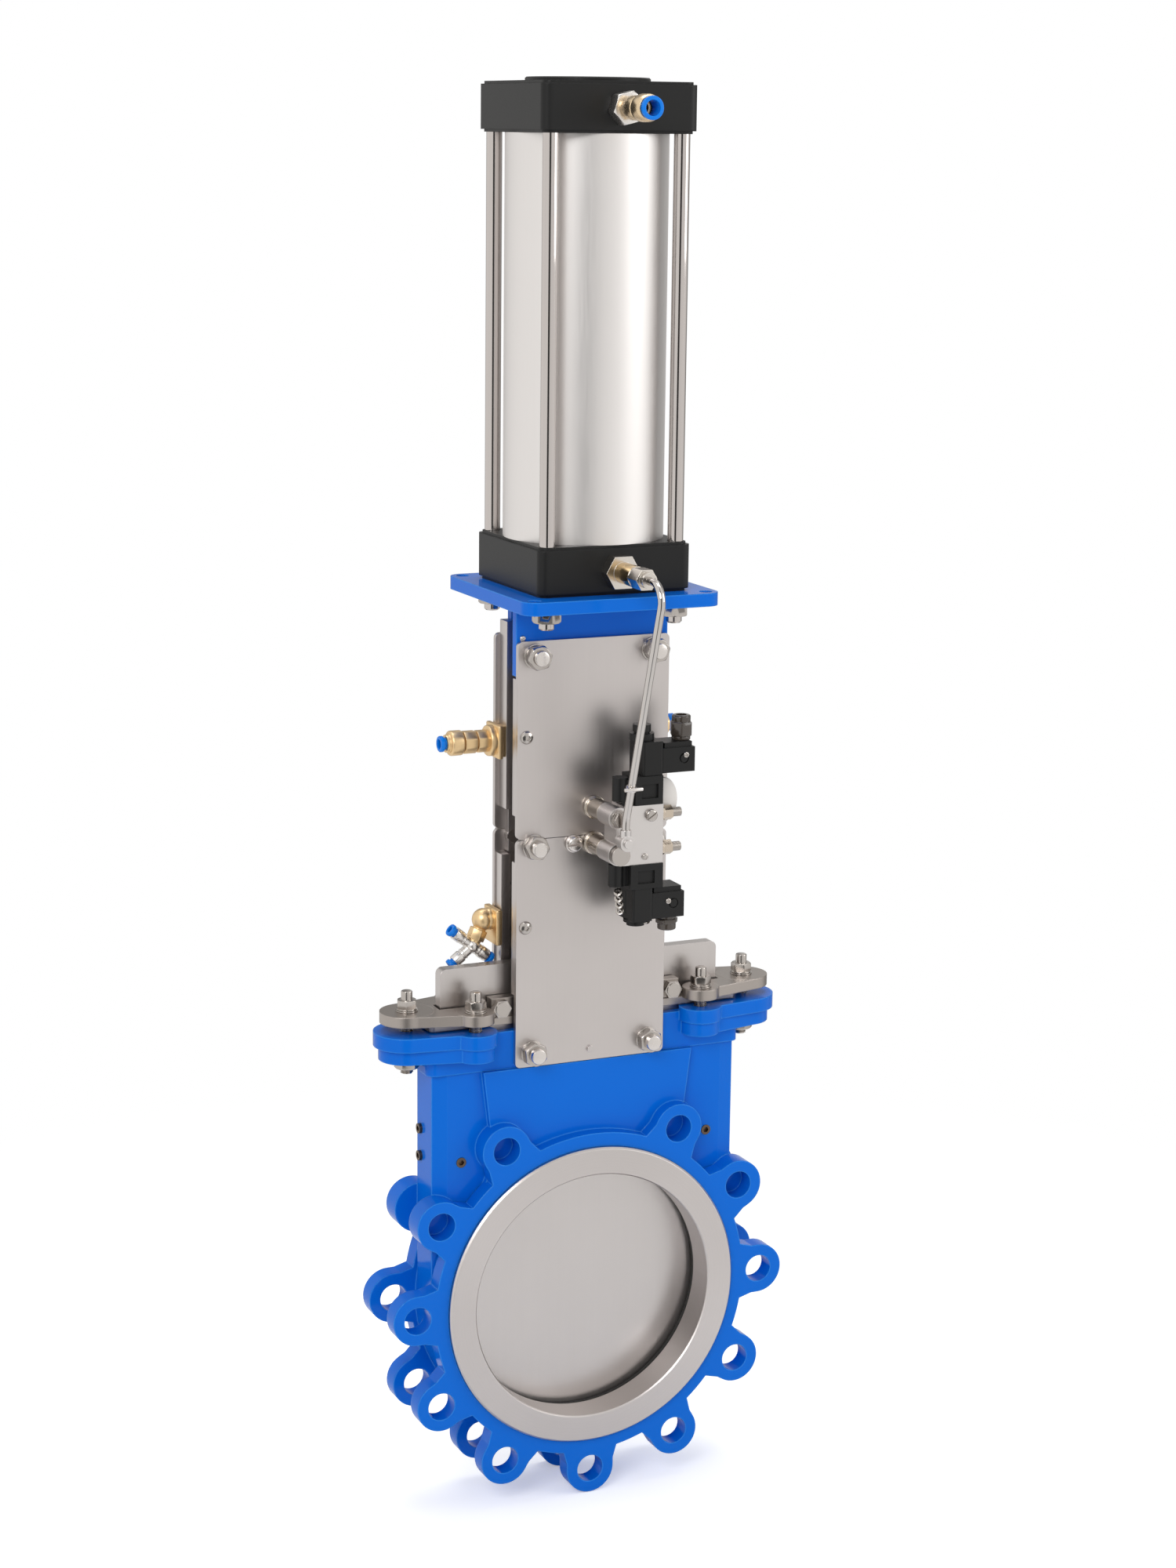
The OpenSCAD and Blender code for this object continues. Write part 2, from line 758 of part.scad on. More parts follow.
module button_screw() {
    rotate([-90, 0, 0]) difference() {
        union() {
            rotate_extrude($fn = small_fn) polygon([[0, -3.2], [2.2, -3.1], [4.2, -2.2], [5.2, -0.6], [5.2, 0], [0, 0]]);
            cylinder(h = plate_t + 4, d = 6 - 0.1);
        }
        translate([0, 0, -4]) cylinder(h = 2.4, d = 4, $fn = 6);
    }
}

module rail_screws() {
    color(steel) front_and_rear() for (z = [rail_screw_low, rail_screw_up]) {
        translate([-rail_x, plate_y, z]) button_screw();
    }
}

// Square plate with two webs that hang between the yoke plates and are bolted to them.
module actuator_bracket() {
    web_y = plate_y + plate_t;
    color(blue) difference() {
        union() {
            translate([0, mid_y, bracket_z]) linear_extrude(bracket_t) round_rect(bracket_w, bracket_w, 12);
            translate([-web_w / 2, web_y, web_z]) cube([web_w, web_t, bracket_z - web_z + 1]);
            rear_copy() translate([-web_w / 2 + 10, web_y, web_z]) {
                cube([web_w - 10, web_t, bracket_z - web_z + 1]);
            }
        }
        along_z(0, mid_y, bracket_z - 1, bracket_t + 2, spigot_low_r + fit);
        tie_places() translate([0, 0, bracket_z - 1]) cylinder(h = bracket_t + 2, d = tie_d + 1);
        for (x = [-1, 1], y = [-1, 1]) {
            along_z(x * (bracket_w / 2 - 10), mid_y + y * (bracket_w / 2 - 10), bracket_z - 1, bracket_t + 2, 5);
        }
        front_and_rear() yoke_stud_places([yoke_up_z]) along_y(0, web_y - 1, 0, web_t + 2, stud_d / 2);
    }
}

spigot_low_r = 22;

module tie_places() {
    for (x = [-1, 1], y = [-1, 1]) {
        translate([x * tie_pitch / 2, mid_y + y * tie_pitch / 2, 0]) children();
    }
}

module cap_block(z0, h) {
    bevel = 2;
    translate([0, mid_y, z0]) {
        translate([0, 0, bevel]) linear_extrude(h - 2 * bevel) round_rect(cap_w, cap_w, cap_corner);
        linear_extrude(h) round_rect(cap_w - 2 * bevel, cap_w - 2 * bevel, cap_corner);
    }
}

module port_hole(z) {
    along_y(0, cap_front_y - 1, z, 17, 6.6);
}

module cylinder_cap_lower() {
    color(black) difference() {
        union() {
            cap_block(cap_z, cap_low_h);
            along_z(0, mid_y, tube_z - 1, spigot_h + 1, spigot_r);
            along_z(0, mid_y, cap_z - bracket_t, bracket_t + 1, spigot_low_r);
        }
        along_z(0, mid_y, cap_z - bracket_t - 1, 100, bush_r);
        along_z(0, mid_y, tube_z + spigot_h - 12, 20, 26);
        tie_places() translate([0, 0, cap_z - 1]) cylinder(h = cap_low_h + 2, d = tie_d + 0.6);
        port_hole(port_low_z);
        oring_groove(tube_z + 8);
    }
}

bush_r = rod_d / 2 + 4;

module oring_groove(z) {
    translate([0, mid_y, z - 1.8]) rotate_extrude() translate([spigot_r - 2.4, 0]) square([6, 3.6]);
}

module cylinder_cap_upper() {
    color(black) difference() {
        union() {
            cap_block(cap_up_z, cap_up_h);
            along_z(0, mid_y, cap_up_z - spigot_h, spigot_h + 1, spigot_r);
            translate([0, mid_y, cap_top - 0.5]) rotate_extrude() {
                polygon([[36, 0], [46.5, 0], [46.5, 2.5], [45.5, 3.5], [37, 3.5], [36, 2.5]]);
            }
        }
        along_z(0, mid_y, cap_up_z - spigot_h - 1, 15, 26);
        tie_places() translate([0, 0, cap_up_z - 1]) cylinder(h = tie_z1 - cap_up_z + 1.5, d = tie_d + 0.1);
        port_hole(port_up_z);
        oring_groove(cap_up_z - 8);
        left_and_right() translate([20, mid_y, cap_top - 1]) cylinder(h = 3, d = 6);
    }
}

module cylinder_tube() {
    color("silver") difference() {
        along_z(0, mid_y, tube_z, tube_len, tube_r);
        along_z(0, mid_y, tube_z - 1, tube_len + 2, tube_in);
    }
}

module ring_z(r, d, z) {
    translate([0, mid_y, z]) rotate_extrude() translate([r, 0]) circle(d = d, $fn = 24);
}

module cylinder_orings() {
    oring_d = 2.4;
    color(black) {
        ring_z(tube_in - oring_d / 2 - 0.05, oring_d, tube_z + 8);
        ring_z(tube_in - oring_d / 2 - 0.05, oring_d, cap_up_z - 8);
    }
}

module tie_rods() {
    color("gainsboro") tie_places() {
        translate([0, 0, tie_z0]) cylinder(h = 1.2, d1 = tie_d - 2.5, d2 = tie_d);
        translate([0, 0, tie_z0 + 1.2]) cylinder(h = tie_z1 - tie_z0 - 1.2, d = tie_d);
    }
}

module tie_rod_nuts() {
    color(steel) tie_places() translate([0, 0, bracket_z]) mirror([0, 0, 1]) {
        nut_and_washer(19, 9, tie_d + 0.05, 24, 2.2);
    }
}

// Bronze bush that guides the rod in the lower cap.
module rod_bush() {
    color("peru") difference() {
        along_z(0, mid_y, cap_z + 2, 22, bush_r - 0.05);
        along_z(0, mid_y, cap_z, 30, rod_in_r + 0.05);
    }
}

module rod_seals() {
    color(black) for (z = [cap_z - 6, cap_z + 25.5]) difference() {
        along_z(0, mid_y, z, 6, bush_r - 0.1);
        along_z(0, mid_y, z - 1, 8, rod_in_r + 0.03);
    }
}

module piston() {
    color("silver") difference() {
        along_z(0, mid_y, piston_z, piston_h, piston_r);
        along_z(0, mid_y, piston_z - 1, piston_h + 2, 8);
        for (z = [6, piston_h / 2, piston_h - 6]) translate([0, mid_y, piston_z + z - 2.5]) {
            rotate_extrude() translate([piston_r - 4, 0]) square([6, 5]);
        }
    }
}

module piston_seals() {
    color(black) for (z = [6, piston_h / 2, piston_h - 6]) difference() {
        along_z(0, mid_y, piston_z + z - 2.3, 4.6, tube_in - 0.05);
        along_z(0, mid_y, piston_z + z - 3, 6, piston_r - 3.8);
    }
}

module piston_rod() {
    z0 = clevis_z1 - 18;
    color("gainsboro") {
        along_z(0, mid_y, z0, 40, rod_end_r);
        along_z(0, mid_y, z0 + 32, 1.2, rod_in_r - 1);
        along_z(0, mid_y, z0 + 33, piston_z - z0 - 33, rod_in_r);
        along_z(0, mid_y, piston_z - 1, piston_h + piston_nut_h + 1, 8 - 0.03);
    }
}

module piston_nut() {
    color(steel) translate([0, mid_y, piston_z + piston_h]) difference() {
        cylinder(h = piston_nut_h - 1, d = 24 / cos(30), $fn = 6);
        translate([0, 0, -1]) cylinder(h = piston_nut_h + 2, r = 8);
    }
}

// Fork that straddles the top edge of the gate.
module gate_clevis() {
    w = clevis_w;
    color(steel) difference() {
        union() {
            slab(mid_y - clevis_t / 2, clevis_t) {
                translate([0, clevis_pin_z]) circle(w / 2 - 5, $fn = round_fn);
                translate([-w / 2, clevis_pin_z]) square([w, clevis_z1 - clevis_pin_z]);
            }
        }
        translate([-w, mid_y - gate_t / 2 - 0.1, clevis_z0 - 9]) {
            cube([2 * w, gate_t + 0.2, gate_top + 1 - clevis_z0 + 9]);
        }
        along_y(0, mid_y - clevis_t, clevis_pin_z, 2 * clevis_t, clevis_pin_d / 2);
        along_z(0, mid_y, clevis_z1 - 18.5, 30, rod_end_r);
    }
}

module clevis_locknut() {
    color(steel) translate([0, mid_y, clevis_z1]) difference() {
        cylinder(h = locknut_h, d = 24 / cos(30), $fn = 6);
        translate([0, 0, -1]) cylinder(h = locknut_h + 2, r = rod_end_r);
    }
}

module clevis_pin() {
    t = clevis_t / 2;
    color(steel) {
        along_y(0, mid_y - t, clevis_pin_z, clevis_t + 3.5, clevis_pin_d / 2 - 0.05);
        along_y(0, mid_y - t - 3, clevis_pin_z, 3, clevis_pin_d / 2 + 3);
        difference() {
            along_y(0, mid_y + t + 0.2, clevis_pin_z, 1.5, clevis_pin_d / 2 + 2.5);
            along_y(0, mid_y + t, clevis_pin_z, 2, clevis_pin_d / 2 - 0.5);
        }
    }
}

// Push-in fitting on the Y axis: thread in the cap, nickel hex, brass barrel, open socket.
module push_in_body(z) {
    y = cap_front_y;
    difference() {
        union() {
            along_y(0, y - 1, z, 15, 6.55);
            hex_y(0, y - 12, z, 12, port_af);
            along_y(0, y - 34, z, 23, 9);
            along_y(0, y - 46, z, 13, 10);
        }
        along_y(0, y - 47, z, 34, 4.1);
        along_y(0, y - 47, z, 12, 7.2);
    }
}

module upper_port_fitting() {
    color(brass) push_in_body(port_up_z);
}

// Release collet: its sleeve slides in the fitting and its head stands proud.
module collet(r_sleeve, r_head, r_bore) {
    difference() {
        union() {
            rotate([-90, 0, 0]) cylinder(h = 9, r = r_sleeve, $fn = round_fn);
            translate([0, -5, 0]) rotate([-90, 0, 0]) cylinder(h = 3.4, r = r_head, $fn = round_fn);
            translate([0, -1.7, 0]) rotate([-90, 0, 0]) cylinder(h = 1.8, r = r_sleeve, $fn = round_fn);
        }
        translate([0, -6, 0]) rotate([-90, 0, 0]) cylinder(h = 20, r = r_bore, $fn = round_fn);
    }
}

module upper_port_collet() {
    color("royalblue") translate([0, cap_front_y - 46, port_up_z]) collet(7.1, 8.5, 4.2);
}

module lower_port_fitting() {
    y = cap_front_y;
    color(steel) difference() {
        union() {
            along_y(0, y - 1, port_low_z, 15, 6.55);
            hex_y(0, y - 12, port_low_z, 12, port_af + 2);
            along_y(0, y - 36, port_low_z, 25, 8);
            hex_y(0, y - 52, port_low_z, 16, 15);
            along_y(0, y - 57, port_low_z, 6, 6);
        }
        along_y(0, y - 60, port_low_z, 16, air_tube_d / 2 + 0.03);
    }
}

// Slope of the straight stretch that touches both bends, found from their centres.
top_c = [tube_out_y, port_low_z - bend_r];
low_c = [banjo_y - low_bend_r, tube_end_z + 4];
span = top_c - low_c;
bend_sum = bend_r + low_bend_r;
tube_run = sqrt(span * span - bend_sum * bend_sum);
lean = atan2(span[1], span[0]) - atan2(tube_run, bend_sum);

// A bend in the YZ plane about the point c, from angle a0 through da, seen along -X.
// It is a hair thicker than the straight tube, which runs a little way into it.
module tube_bend(c, r, a0, da) {
    translate([0, c[0], c[1]]) rotate([0, 90, 0]) rotate([0, 0, a0]) rotate_extrude(angle = da) {
        translate([r, 0]) circle(d = air_tube_d + 0.06, $fn = small_fn);
    }
}

module air_tube() {
    r = air_tube_d / 2;
    lap = 0.3;
    color("gainsboro") {
        along_y(0, tube_out_y - lap, port_low_z, tube_start_y - tube_out_y + lap, r);
        tube_bend(top_c, bend_r, 180, 90 + lean);
        translate([0, top_c[0] - bend_r * cos(lean), top_c[1] - bend_r * sin(lean)]) {
            rotate([lean, 0, 0]) translate([0, 0, -tube_run - lap]) cylinder(h = tube_run + 2 * lap, r = r);
        }
        tube_bend(low_c, low_bend_r, 90, lean);
        along_z(0, banjo_y, tube_end_z, 4 + lap, r);
    }
}

module valve_standoffs() {
    color(steel) for (s = [-1, 1]) {
        z = block_z + s * standoff_pitch / 2;
        difference() {
            along_y(standoff_x, block_y1, z, standoff_len, standoff_r);
            along_y(standoff_x, block_y1 - 1, z, standoff_len + 2, 3.1);
        }
    }
}

// Long screws through block, standoff and plate into the strap behind it.
module valve_screws() {
    y1 = plate_y + plate_t + strap_t;
    color(steel) for (s = [-1, 1]) {
        z = block_z + s * standoff_pitch / 2;
        along_y(standoff_x, block_y0, z, y1 - block_y0, 3);
        along_y(standoff_x, block_y0 - 1.5, z, 1.5, 7);
        if (s > 0) hex_y(standoff_x, block_y0 - 6, z, 4.5, 11);
        else along_y(standoff_x, block_y0 - 5, z, 4, 7.6);
    }
}

module block_outline() {
    translate([block_x0 + 6, block_z0]) square([block_w - 6, block_h]);
    translate([block_x0, block_z0 + 6]) square([8, block_h - 12]);
    for (s = [-1, 1]) translate([standoff_x, block_z + s * standoff_pitch / 2]) circle(lobe_r, $fn = round_fn);
}

module solenoid_valve_block() {
    color("silver") difference() {
        union() {
            slab(block_y0, block_t) block_outline();
            along_y(0, banjo_y - 4.5, banjo_z, 9, banjo_r);
            along_y(0, banjo_y - 6.5, banjo_z, block_y0 - banjo_y + 7, 3.4);
            along_z(0, banjo_y, banjo_z, banjo_r + 4, 4.2);
            along_y(26.5, block_y0 - 1.6, block_z1 - 8, 2, 4.8);
            along_y(22, block_y0 - 1.2, block_z0 + 6, 2, 2.5);
            slab(block_y1 - 9, 3) {
                translate([block_x1 + 6.3, block_z1 + 6]) circle(6, $fn = round_fn);
                translate([block_x1 - 2, block_z1 - 4]) square([10, 4]);
                translate([block_x1 + 0.3, block_z1 - 2]) square([12, 8]);
            }
        }
        for (s = [-1, 1]) {
            along_y(standoff_x, block_y0 - 1, block_z + s * standoff_pitch / 2, block_t + 2, 3.1);
            along_x(block_x1 - 9, throttle_y, block_z + s * throttle_dz, 10, 4.6);
        }
        translate([24.5, block_y0 - 2.5, block_z1 - 8.5]) cube([4, 1.6, 1]);
        along_z(0, banjo_y, banjo_z + banjo_r + 1, 10, air_tube_d / 2 + 0.03);
    }
}

throttle_y = block_y1 - block_t / 2 - 1;
throttle_dz = 13.5;

// Black pilot housings above and below the block, with a pocket on the front.
module pilot_bases() {
    t = block_t + 3;
    color(black) {
        difference() {
            translate([block_x0 + 15, block_y0 - 1, block_z1]) cube([block_w - 16, t, pilot_h]);
            translate([block_x0 + 20, block_y0 - 2, block_z1 + 5]) cube([14, 3, 11]);
        }
        along_z(block_x0 + 7, block_y0 + 10, block_z1 + 3, 18, 6);
        translate([block_x0 + 7, block_y0 + 5, block_z1]) cube([9, 12, 19]);
        difference() {
            translate([block_x0 + 12, block_y0 - 1, block_z0 - pilot_h + 3]) cube([block_w - 12, t, pilot_h - 3]);
            translate([block_x0 + 18, block_y0 - 2, block_z0 - pilot_h + 7]) cube([14, 3, 10]);
        }
        along_z(block_x0 + 4, block_y0 + 9, block_z0 - 17, 17, 6);
        translate([block_x0 + 4, block_y0 + 5, block_z0 - 17]) cube([9, 10, 17]);
    }
}

module coil_body(z) {
    translate([coil_x, coil_y, z]) difference() {
        linear_extrude(coil_h) round_rect(coil_w, coil_t, 2);
        for (s = [-1, 1]) translate([s * (coil_w / 2 + 1.2), 0, 4]) cylinder(h = coil_h - 8, d = 4, $fn = 24);
    }
}

module solenoid_coils() {
    color(black) {
        coil_body(coil_up_z);
        translate([-7, 0, 0]) coil_body(coil_low_z);
    }
}

module knurled_nut(h) {
    cylinder(h = h * 0.45, r = 9.5, $fn = 36);
    translate([0, 0, h * 0.45]) cylinder(h = h * 0.12, r = 6);
    translate([0, 0, h * 0.55]) cylinder(h = h * 0.45, r = 7, $fn = 30);
}

module coil_nuts() {
    color(black) {
        translate([coil_x - 4, coil_y, coil_up_z + coil_h]) knurled_nut(12);
        translate([coil_x - 7, coil_y, coil_low_z]) mirror([0, 0, 1]) knurled_nut(5);
    }
}

module connector_block(x0, z0, h) {
    translate([x0, coil_y - connector_t / 2, z0]) {
        difference() {
            union() {
                cube([connector_w, connector_t, h - 4]);
                translate([2, 1.5, 0]) cube([connector_w - 4, connector_t - 3, h]);
                translate([connector_w, connector_t / 2, h / 2]) rotate([0, 90, 0]) cylinder(h = 2, r = 5);
            }
            translate([connector_w - 9, -1, h / 2 - 1]) rotate([-90, 0, 0]) cylinder(h = 2, r = 4);
        }
        translate([connector_w - 9, -0.4, h / 2 - 1]) rotate([-90, 0, 0]) cylinder(h = 1.6, r = 3);
    }
}

module coil_connectors() {
    x0 = coil_x + coil_w / 2;
    color(black) {
        connector_block(x0, coil_up_z + 1, 23);
        connector_block(x0 - 7, coil_low_z + 1, 24);
    }
}

module gland_up(h) {
    cylinder(h = 3, r = 8);
    translate([0, 0, 3]) cylinder(h = h - 8, d = 17 / cos(30), $fn = 6);
    translate([0, 0, h - 5]) difference() {
        cylinder(h = 5, r = 7.4);
        translate([0, 0, 1]) cylinder(h = 5, r = 4);
    }
}

module cable_glands() {
    color("dimgray") {
        translate([gland_x + 1, coil_y, coil_up_z + 24]) gland_up(19);
        translate([gland_x - 8, coil_y, coil_low_z + 1]) mirror([0, 0, 1]) gland_up(12);
    }
}

module throttle_body() {
    rotate([0, 90, 0]) difference() {
        union() {
            translate([0, 0, -8]) cylinder(h = 9, r = 4.55);
            cylinder(h = 4, r = 6);
            translate([0, 0, 4]) cylinder(h = 7, d = 10 / cos(30), $fn = 6);
        }
        translate([0, 0, -4]) cylinder(h = 20, r = 2.6);
    }
}

module exhaust_throttles() {
    color(steel) for (s = [-1, 1]) {
        translate([block_x1, throttle_y, block_z + s * throttle_dz]) throttle_body();
    }
}

module throttle_screw(z) {
    translate([block_x1 - 3, throttle_y, z]) rotate([0, 90, 0]) difference() {
        union() {
            cylinder(h = 14.5, r = 2.55);
            translate([0, 0, 14.3]) cylinder(h = 7.5, r = 3.6);
        }
        translate([-5, -0.5, 20.5]) cube([10, 1, 3]);
    }
}

module throttle_screw_upper() {
    color(steel) throttle_screw(block_z + throttle_dz);
}

module throttle_screw_lower() {
    color(steel) throttle_screw(block_z - throttle_dz);
}

// Long port on the left: flange on the rail, octagonal body, union nut and socket.
module side_port_left() {
    translate([side_x, side_y, side_up_z]) difference() {
        union() {
            translate([-9, -13, -16]) cube([9, 26, 32]);
            translate([-18, 0, 0]) rotate([0, 90, 0]) cylinder(h = 9.5, d = 18 / cos(22.5), $fn = 8);
            along_x(-30, 0, 0, 12.5, 8);
            along_x(-39, 0, 0, 9.5, 10);
            along_x(-43, 0, 0, 4.5, 6.8);
        }
        along_x(-44, 0, 0, 30, 3.1);
        along_x(-44, 0, 0, 12, 4.6);
    }
}

// Short port on the right, which a plug closes.
module side_port_right() {
    translate([-side_x, side_y, side_right_z]) difference() {
        union() {
            translate([0, -13, -16]) cube([9, 26, 32]);
            translate([8.5, 0, 0]) rotate([0, 90, 0]) cylinder(h = 9, d = 16 / cos(22.5), $fn = 8);
        }
        along_x(6, 0, 0, 14, 3.6);
    }
}

module side_ports_upper() {
    color(brass) {
        side_port_left();
        side_port_right();
    }
}

module side_port_plug() {
    color("royalblue") translate([-side_x, side_y, side_right_z]) {
        along_x(6.3, 0, 0, 13, 3.5);
        along_x(17.5, 0, 0, 8, 6.8);
        translate([25.5, 0, 0]) rotate([0, 90, 0]) cylinder(h = 3.5, r1 = 6.8, r2 = 3.2);
        along_x(28, 0, 0, 8, 3.2);
    }
}

module side_collet(r_head) {
    rotate([0, 0, -90]) collet(4.5, r_head, 3.2);
}

module side_collet_upper() {
    color("royalblue") translate([side_x - 43, side_y, side_up_z]) side_collet(6);
}

branch_x = side_x - 20;
branch_z = side_low_z - 15;

// Lower side port: brass flange and boss, hex, and a nickel branch with three sockets.
module side_port_lower() {
    color(brass) translate([side_x, side_y, side_low_z]) {
        translate([-8, -13, -14]) cube([8, 26, 28]);
        translate([-13, 0, 4]) rotate([0, 90, 0]) cylinder(h = 6, r = 9);
        hex_x(-20, 0, -4, 12.5, 13);
    }
    color(steel) translate([branch_x, side_y, branch_z]) difference() {
        union() {
            sphere(r = 8.4);
            translate([0, 0, 3]) cylinder(h = 9, r = 5.5);
            for (k = [0 : 2]) branch_end(k) rotate([90, 0, 0]) cylinder(h = branch_lens[k], r = 6);
        }
        for (k = [0 : 2]) branch_end(k) translate([0, -branch_lens[k], 0]) {
            rotate([-90, 0, 0]) cylinder(h = 11, r = 4.6);
        }
    }
}

// Direction and length of the three sockets: left, right and side branch.
branch_turns = [38, 218, -38];
branch_lens = [19, 15, 19];

module branch_end(k) {
    rotate([0, branch_turns[k], 0]) rotate([0, 0, -90]) children();
}

module lower_collet(k) {
    color("royalblue") translate([branch_x, side_y, branch_z]) branch_end(k) {
        translate([0, -branch_lens[k], 0]) collet(4.5, 6, 3.2);
    }
}

module side_collet_lower_left() {
    lower_collet(0);
}

module side_collet_lower_right() {
    lower_collet(1);
}

module side_collet_lower_branch() {
    lower_collet(2);
}

valve_body();
seat_rings();
seat_seals();
gate_guides();
body_plugs();
gate_blade();
packing_rings();
packing_gland();
gland_clamp_left();
gland_clamp_right();
gland_studs();
gland_nuts();
gland_bar_screws();
yoke_plate_front_lower();
yoke_plate_front_upper();
yoke_plate_rear_lower();
yoke_plate_rear_upper();
yoke_splices();
yoke_rails();
yoke_studs();
yoke_nuts();
rail_screws();
actuator_bracket();
cylinder_cap_lower();
cylinder_cap_upper();
cylinder_tube();
cylinder_orings();
tie_rods();
tie_rod_nuts();
rod_bush();
rod_seals();
piston();
piston_seals();
piston_nut();
piston_rod();
gate_clevis();
clevis_locknut();
clevis_pin();
upper_port_fitting();
upper_port_collet();
lower_port_fitting();
air_tube();
valve_standoffs();
valve_screws();
solenoid_valve_block();
pilot_bases();
solenoid_coils();
coil_nuts();
coil_connectors();
cable_glands();
exhaust_throttles();
throttle_screw_upper();
throttle_screw_lower();
side_ports_upper();
side_port_plug();
side_port_lower();
side_collet_upper();
side_collet_lower_left();
side_collet_lower_right();
side_collet_lower_branch();
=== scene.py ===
import bpy
import math
from mathutils import Matrix, Vector


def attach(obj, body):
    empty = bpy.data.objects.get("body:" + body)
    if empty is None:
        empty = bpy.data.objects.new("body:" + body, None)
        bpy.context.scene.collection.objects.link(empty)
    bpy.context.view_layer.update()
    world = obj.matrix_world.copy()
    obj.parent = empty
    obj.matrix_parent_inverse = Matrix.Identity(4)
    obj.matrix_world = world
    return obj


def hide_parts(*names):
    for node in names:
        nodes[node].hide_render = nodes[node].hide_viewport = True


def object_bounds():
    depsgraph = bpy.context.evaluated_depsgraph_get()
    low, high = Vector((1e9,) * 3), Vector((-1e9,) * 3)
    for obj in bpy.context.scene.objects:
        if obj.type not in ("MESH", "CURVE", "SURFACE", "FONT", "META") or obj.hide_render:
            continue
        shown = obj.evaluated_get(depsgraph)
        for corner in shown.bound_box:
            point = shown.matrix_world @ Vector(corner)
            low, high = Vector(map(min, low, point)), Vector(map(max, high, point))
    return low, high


# Dresses the knife gate valve: camera, studio, finishes and the fine pieces.
# The valve's own frame is used throughout. Camera, studio and finishes are in metres. The dictionaries of
# the pieces, and the helpers that model them, are in millimetres.

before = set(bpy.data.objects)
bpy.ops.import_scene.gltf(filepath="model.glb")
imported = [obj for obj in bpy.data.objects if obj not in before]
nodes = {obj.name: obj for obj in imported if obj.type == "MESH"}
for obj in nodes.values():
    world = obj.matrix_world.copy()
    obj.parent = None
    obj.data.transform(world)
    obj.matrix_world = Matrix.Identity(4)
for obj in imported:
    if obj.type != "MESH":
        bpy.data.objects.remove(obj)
cadBox = [list(corner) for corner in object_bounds()]
mm = 0.001
print("stage: model loaded,", len(nodes), "nodes")


# Camera

cameraView = {
    "target": (0.008816, 0.042560, 0.404035),
    "distance": 2.386,
    "azimuth": -24.516,
    "elevation": 12.036,
    "roll": 0.667,
    "lens": 70.64,
    "sensor": 36,
}


def makeCamera():
    az = math.radians(cameraView["azimuth"])
    el = math.radians(cameraView["elevation"])
    roll = math.radians(cameraView["roll"])
    back = Vector((math.sin(az) * math.cos(el), -math.cos(az) * math.cos(el), math.sin(el)))
    level = Vector((math.cos(az), math.sin(az), 0))
    upright = back.cross(level)
    right = level * math.cos(roll) + upright * math.sin(roll)
    up = upright * math.cos(roll) - level * math.sin(roll)
    data = bpy.data.cameras.new("photoCamera")
    data.lens = cameraView["lens"]
    data.sensor_width = cameraView["sensor"]
    camera = bpy.data.objects.new("photoCamera", data)
    bpy.context.scene.collection.objects.link(camera)
    place = Vector(cameraView["target"]) + back * cameraView["distance"]
    camera.matrix_world = Matrix((
        (right.x, up.x, back.x, place.x),
        (right.y, up.y, back.y, place.y),
        (right.z, up.z, back.z, place.z),
        (0, 0, 0, 1),
    ))
    bpy.context.scene.camera = camera


# Building blocks of node trees

def addNode(tree, kind, inputs=None, **settings):
    # An input is a plain value or the output of another node
    node = tree.nodes.new("ShaderNode" + kind)
    for label, value in settings.items():
        setattr(node, label, value)
    for place, value in (inputs or {}).items():
        if isinstance(value, bpy.types.NodeSocket):
            tree.links.new(value, node.inputs[place])
        else:
            node.inputs[place].default_value = value
    return node


def mathNode(tree, operation, *values):
    return addNode(tree, "Math", dict(enumerate(values)), operation=operation).outputs[0]


def vectorNode(tree, operation, *values):
    node = addNode(tree, "VectorMath", dict(enumerate(values)), operation=operation)
    return node.outputs["Value" if operation in ("LENGTH", "DOT_PRODUCT") else "Vector"]


def mixColors(tree, factor, first, second):
    first, second = [(*part, 1) if isinstance(part, tuple) else part for part in (first, second)]
    inputs = {"Factor": factor, "A": first, "B": second}
    return addNode(tree, "Mix", inputs, data_type="RGBA").outputs["Result"]


def noiseNode(tree, vector, scale, detail, roughness):
    inputs = {"Vector": vector, "Scale": scale, "Detail": detail, "Roughness": roughness}
    return addNode(tree, "TexNoise", inputs).outputs["Fac"]


def spread(tree, value, low=0.0, high=1.0, start=0.0, end=1.0, **settings):
    inputs = {"Value": value, "From Min": start, "From Max": end, "To Min": low, "To Max": high}
    return addNode(tree, "MapRange", inputs, **settings).outputs["Result"]


def startGroup(name, inputs, outputs):
    group = bpy.data.node_groups.new(name, "ShaderNodeTree")
    for label, kind, value in inputs:
        socket = group.interface.new_socket(label, in_out="INPUT", socket_type="NodeSocket" + kind)
        socket.default_value = value
    for label, kind in outputs:
        group.interface.new_socket(label, in_out="OUTPUT", socket_type="NodeSocket" + kind)
    return group, group.nodes.new("NodeGroupInput").outputs, group.nodes.new("NodeGroupOutput").inputs


def useGroup(tree, group, **values):
    return addNode(tree, "Group", values, node_tree=group).outputs


def startMaterial(name):
    material = bpy.data.materials.new(name)
    material.use_nodes = True
    material.node_tree.nodes.clear()
    return material, material.node_tree


# Studio

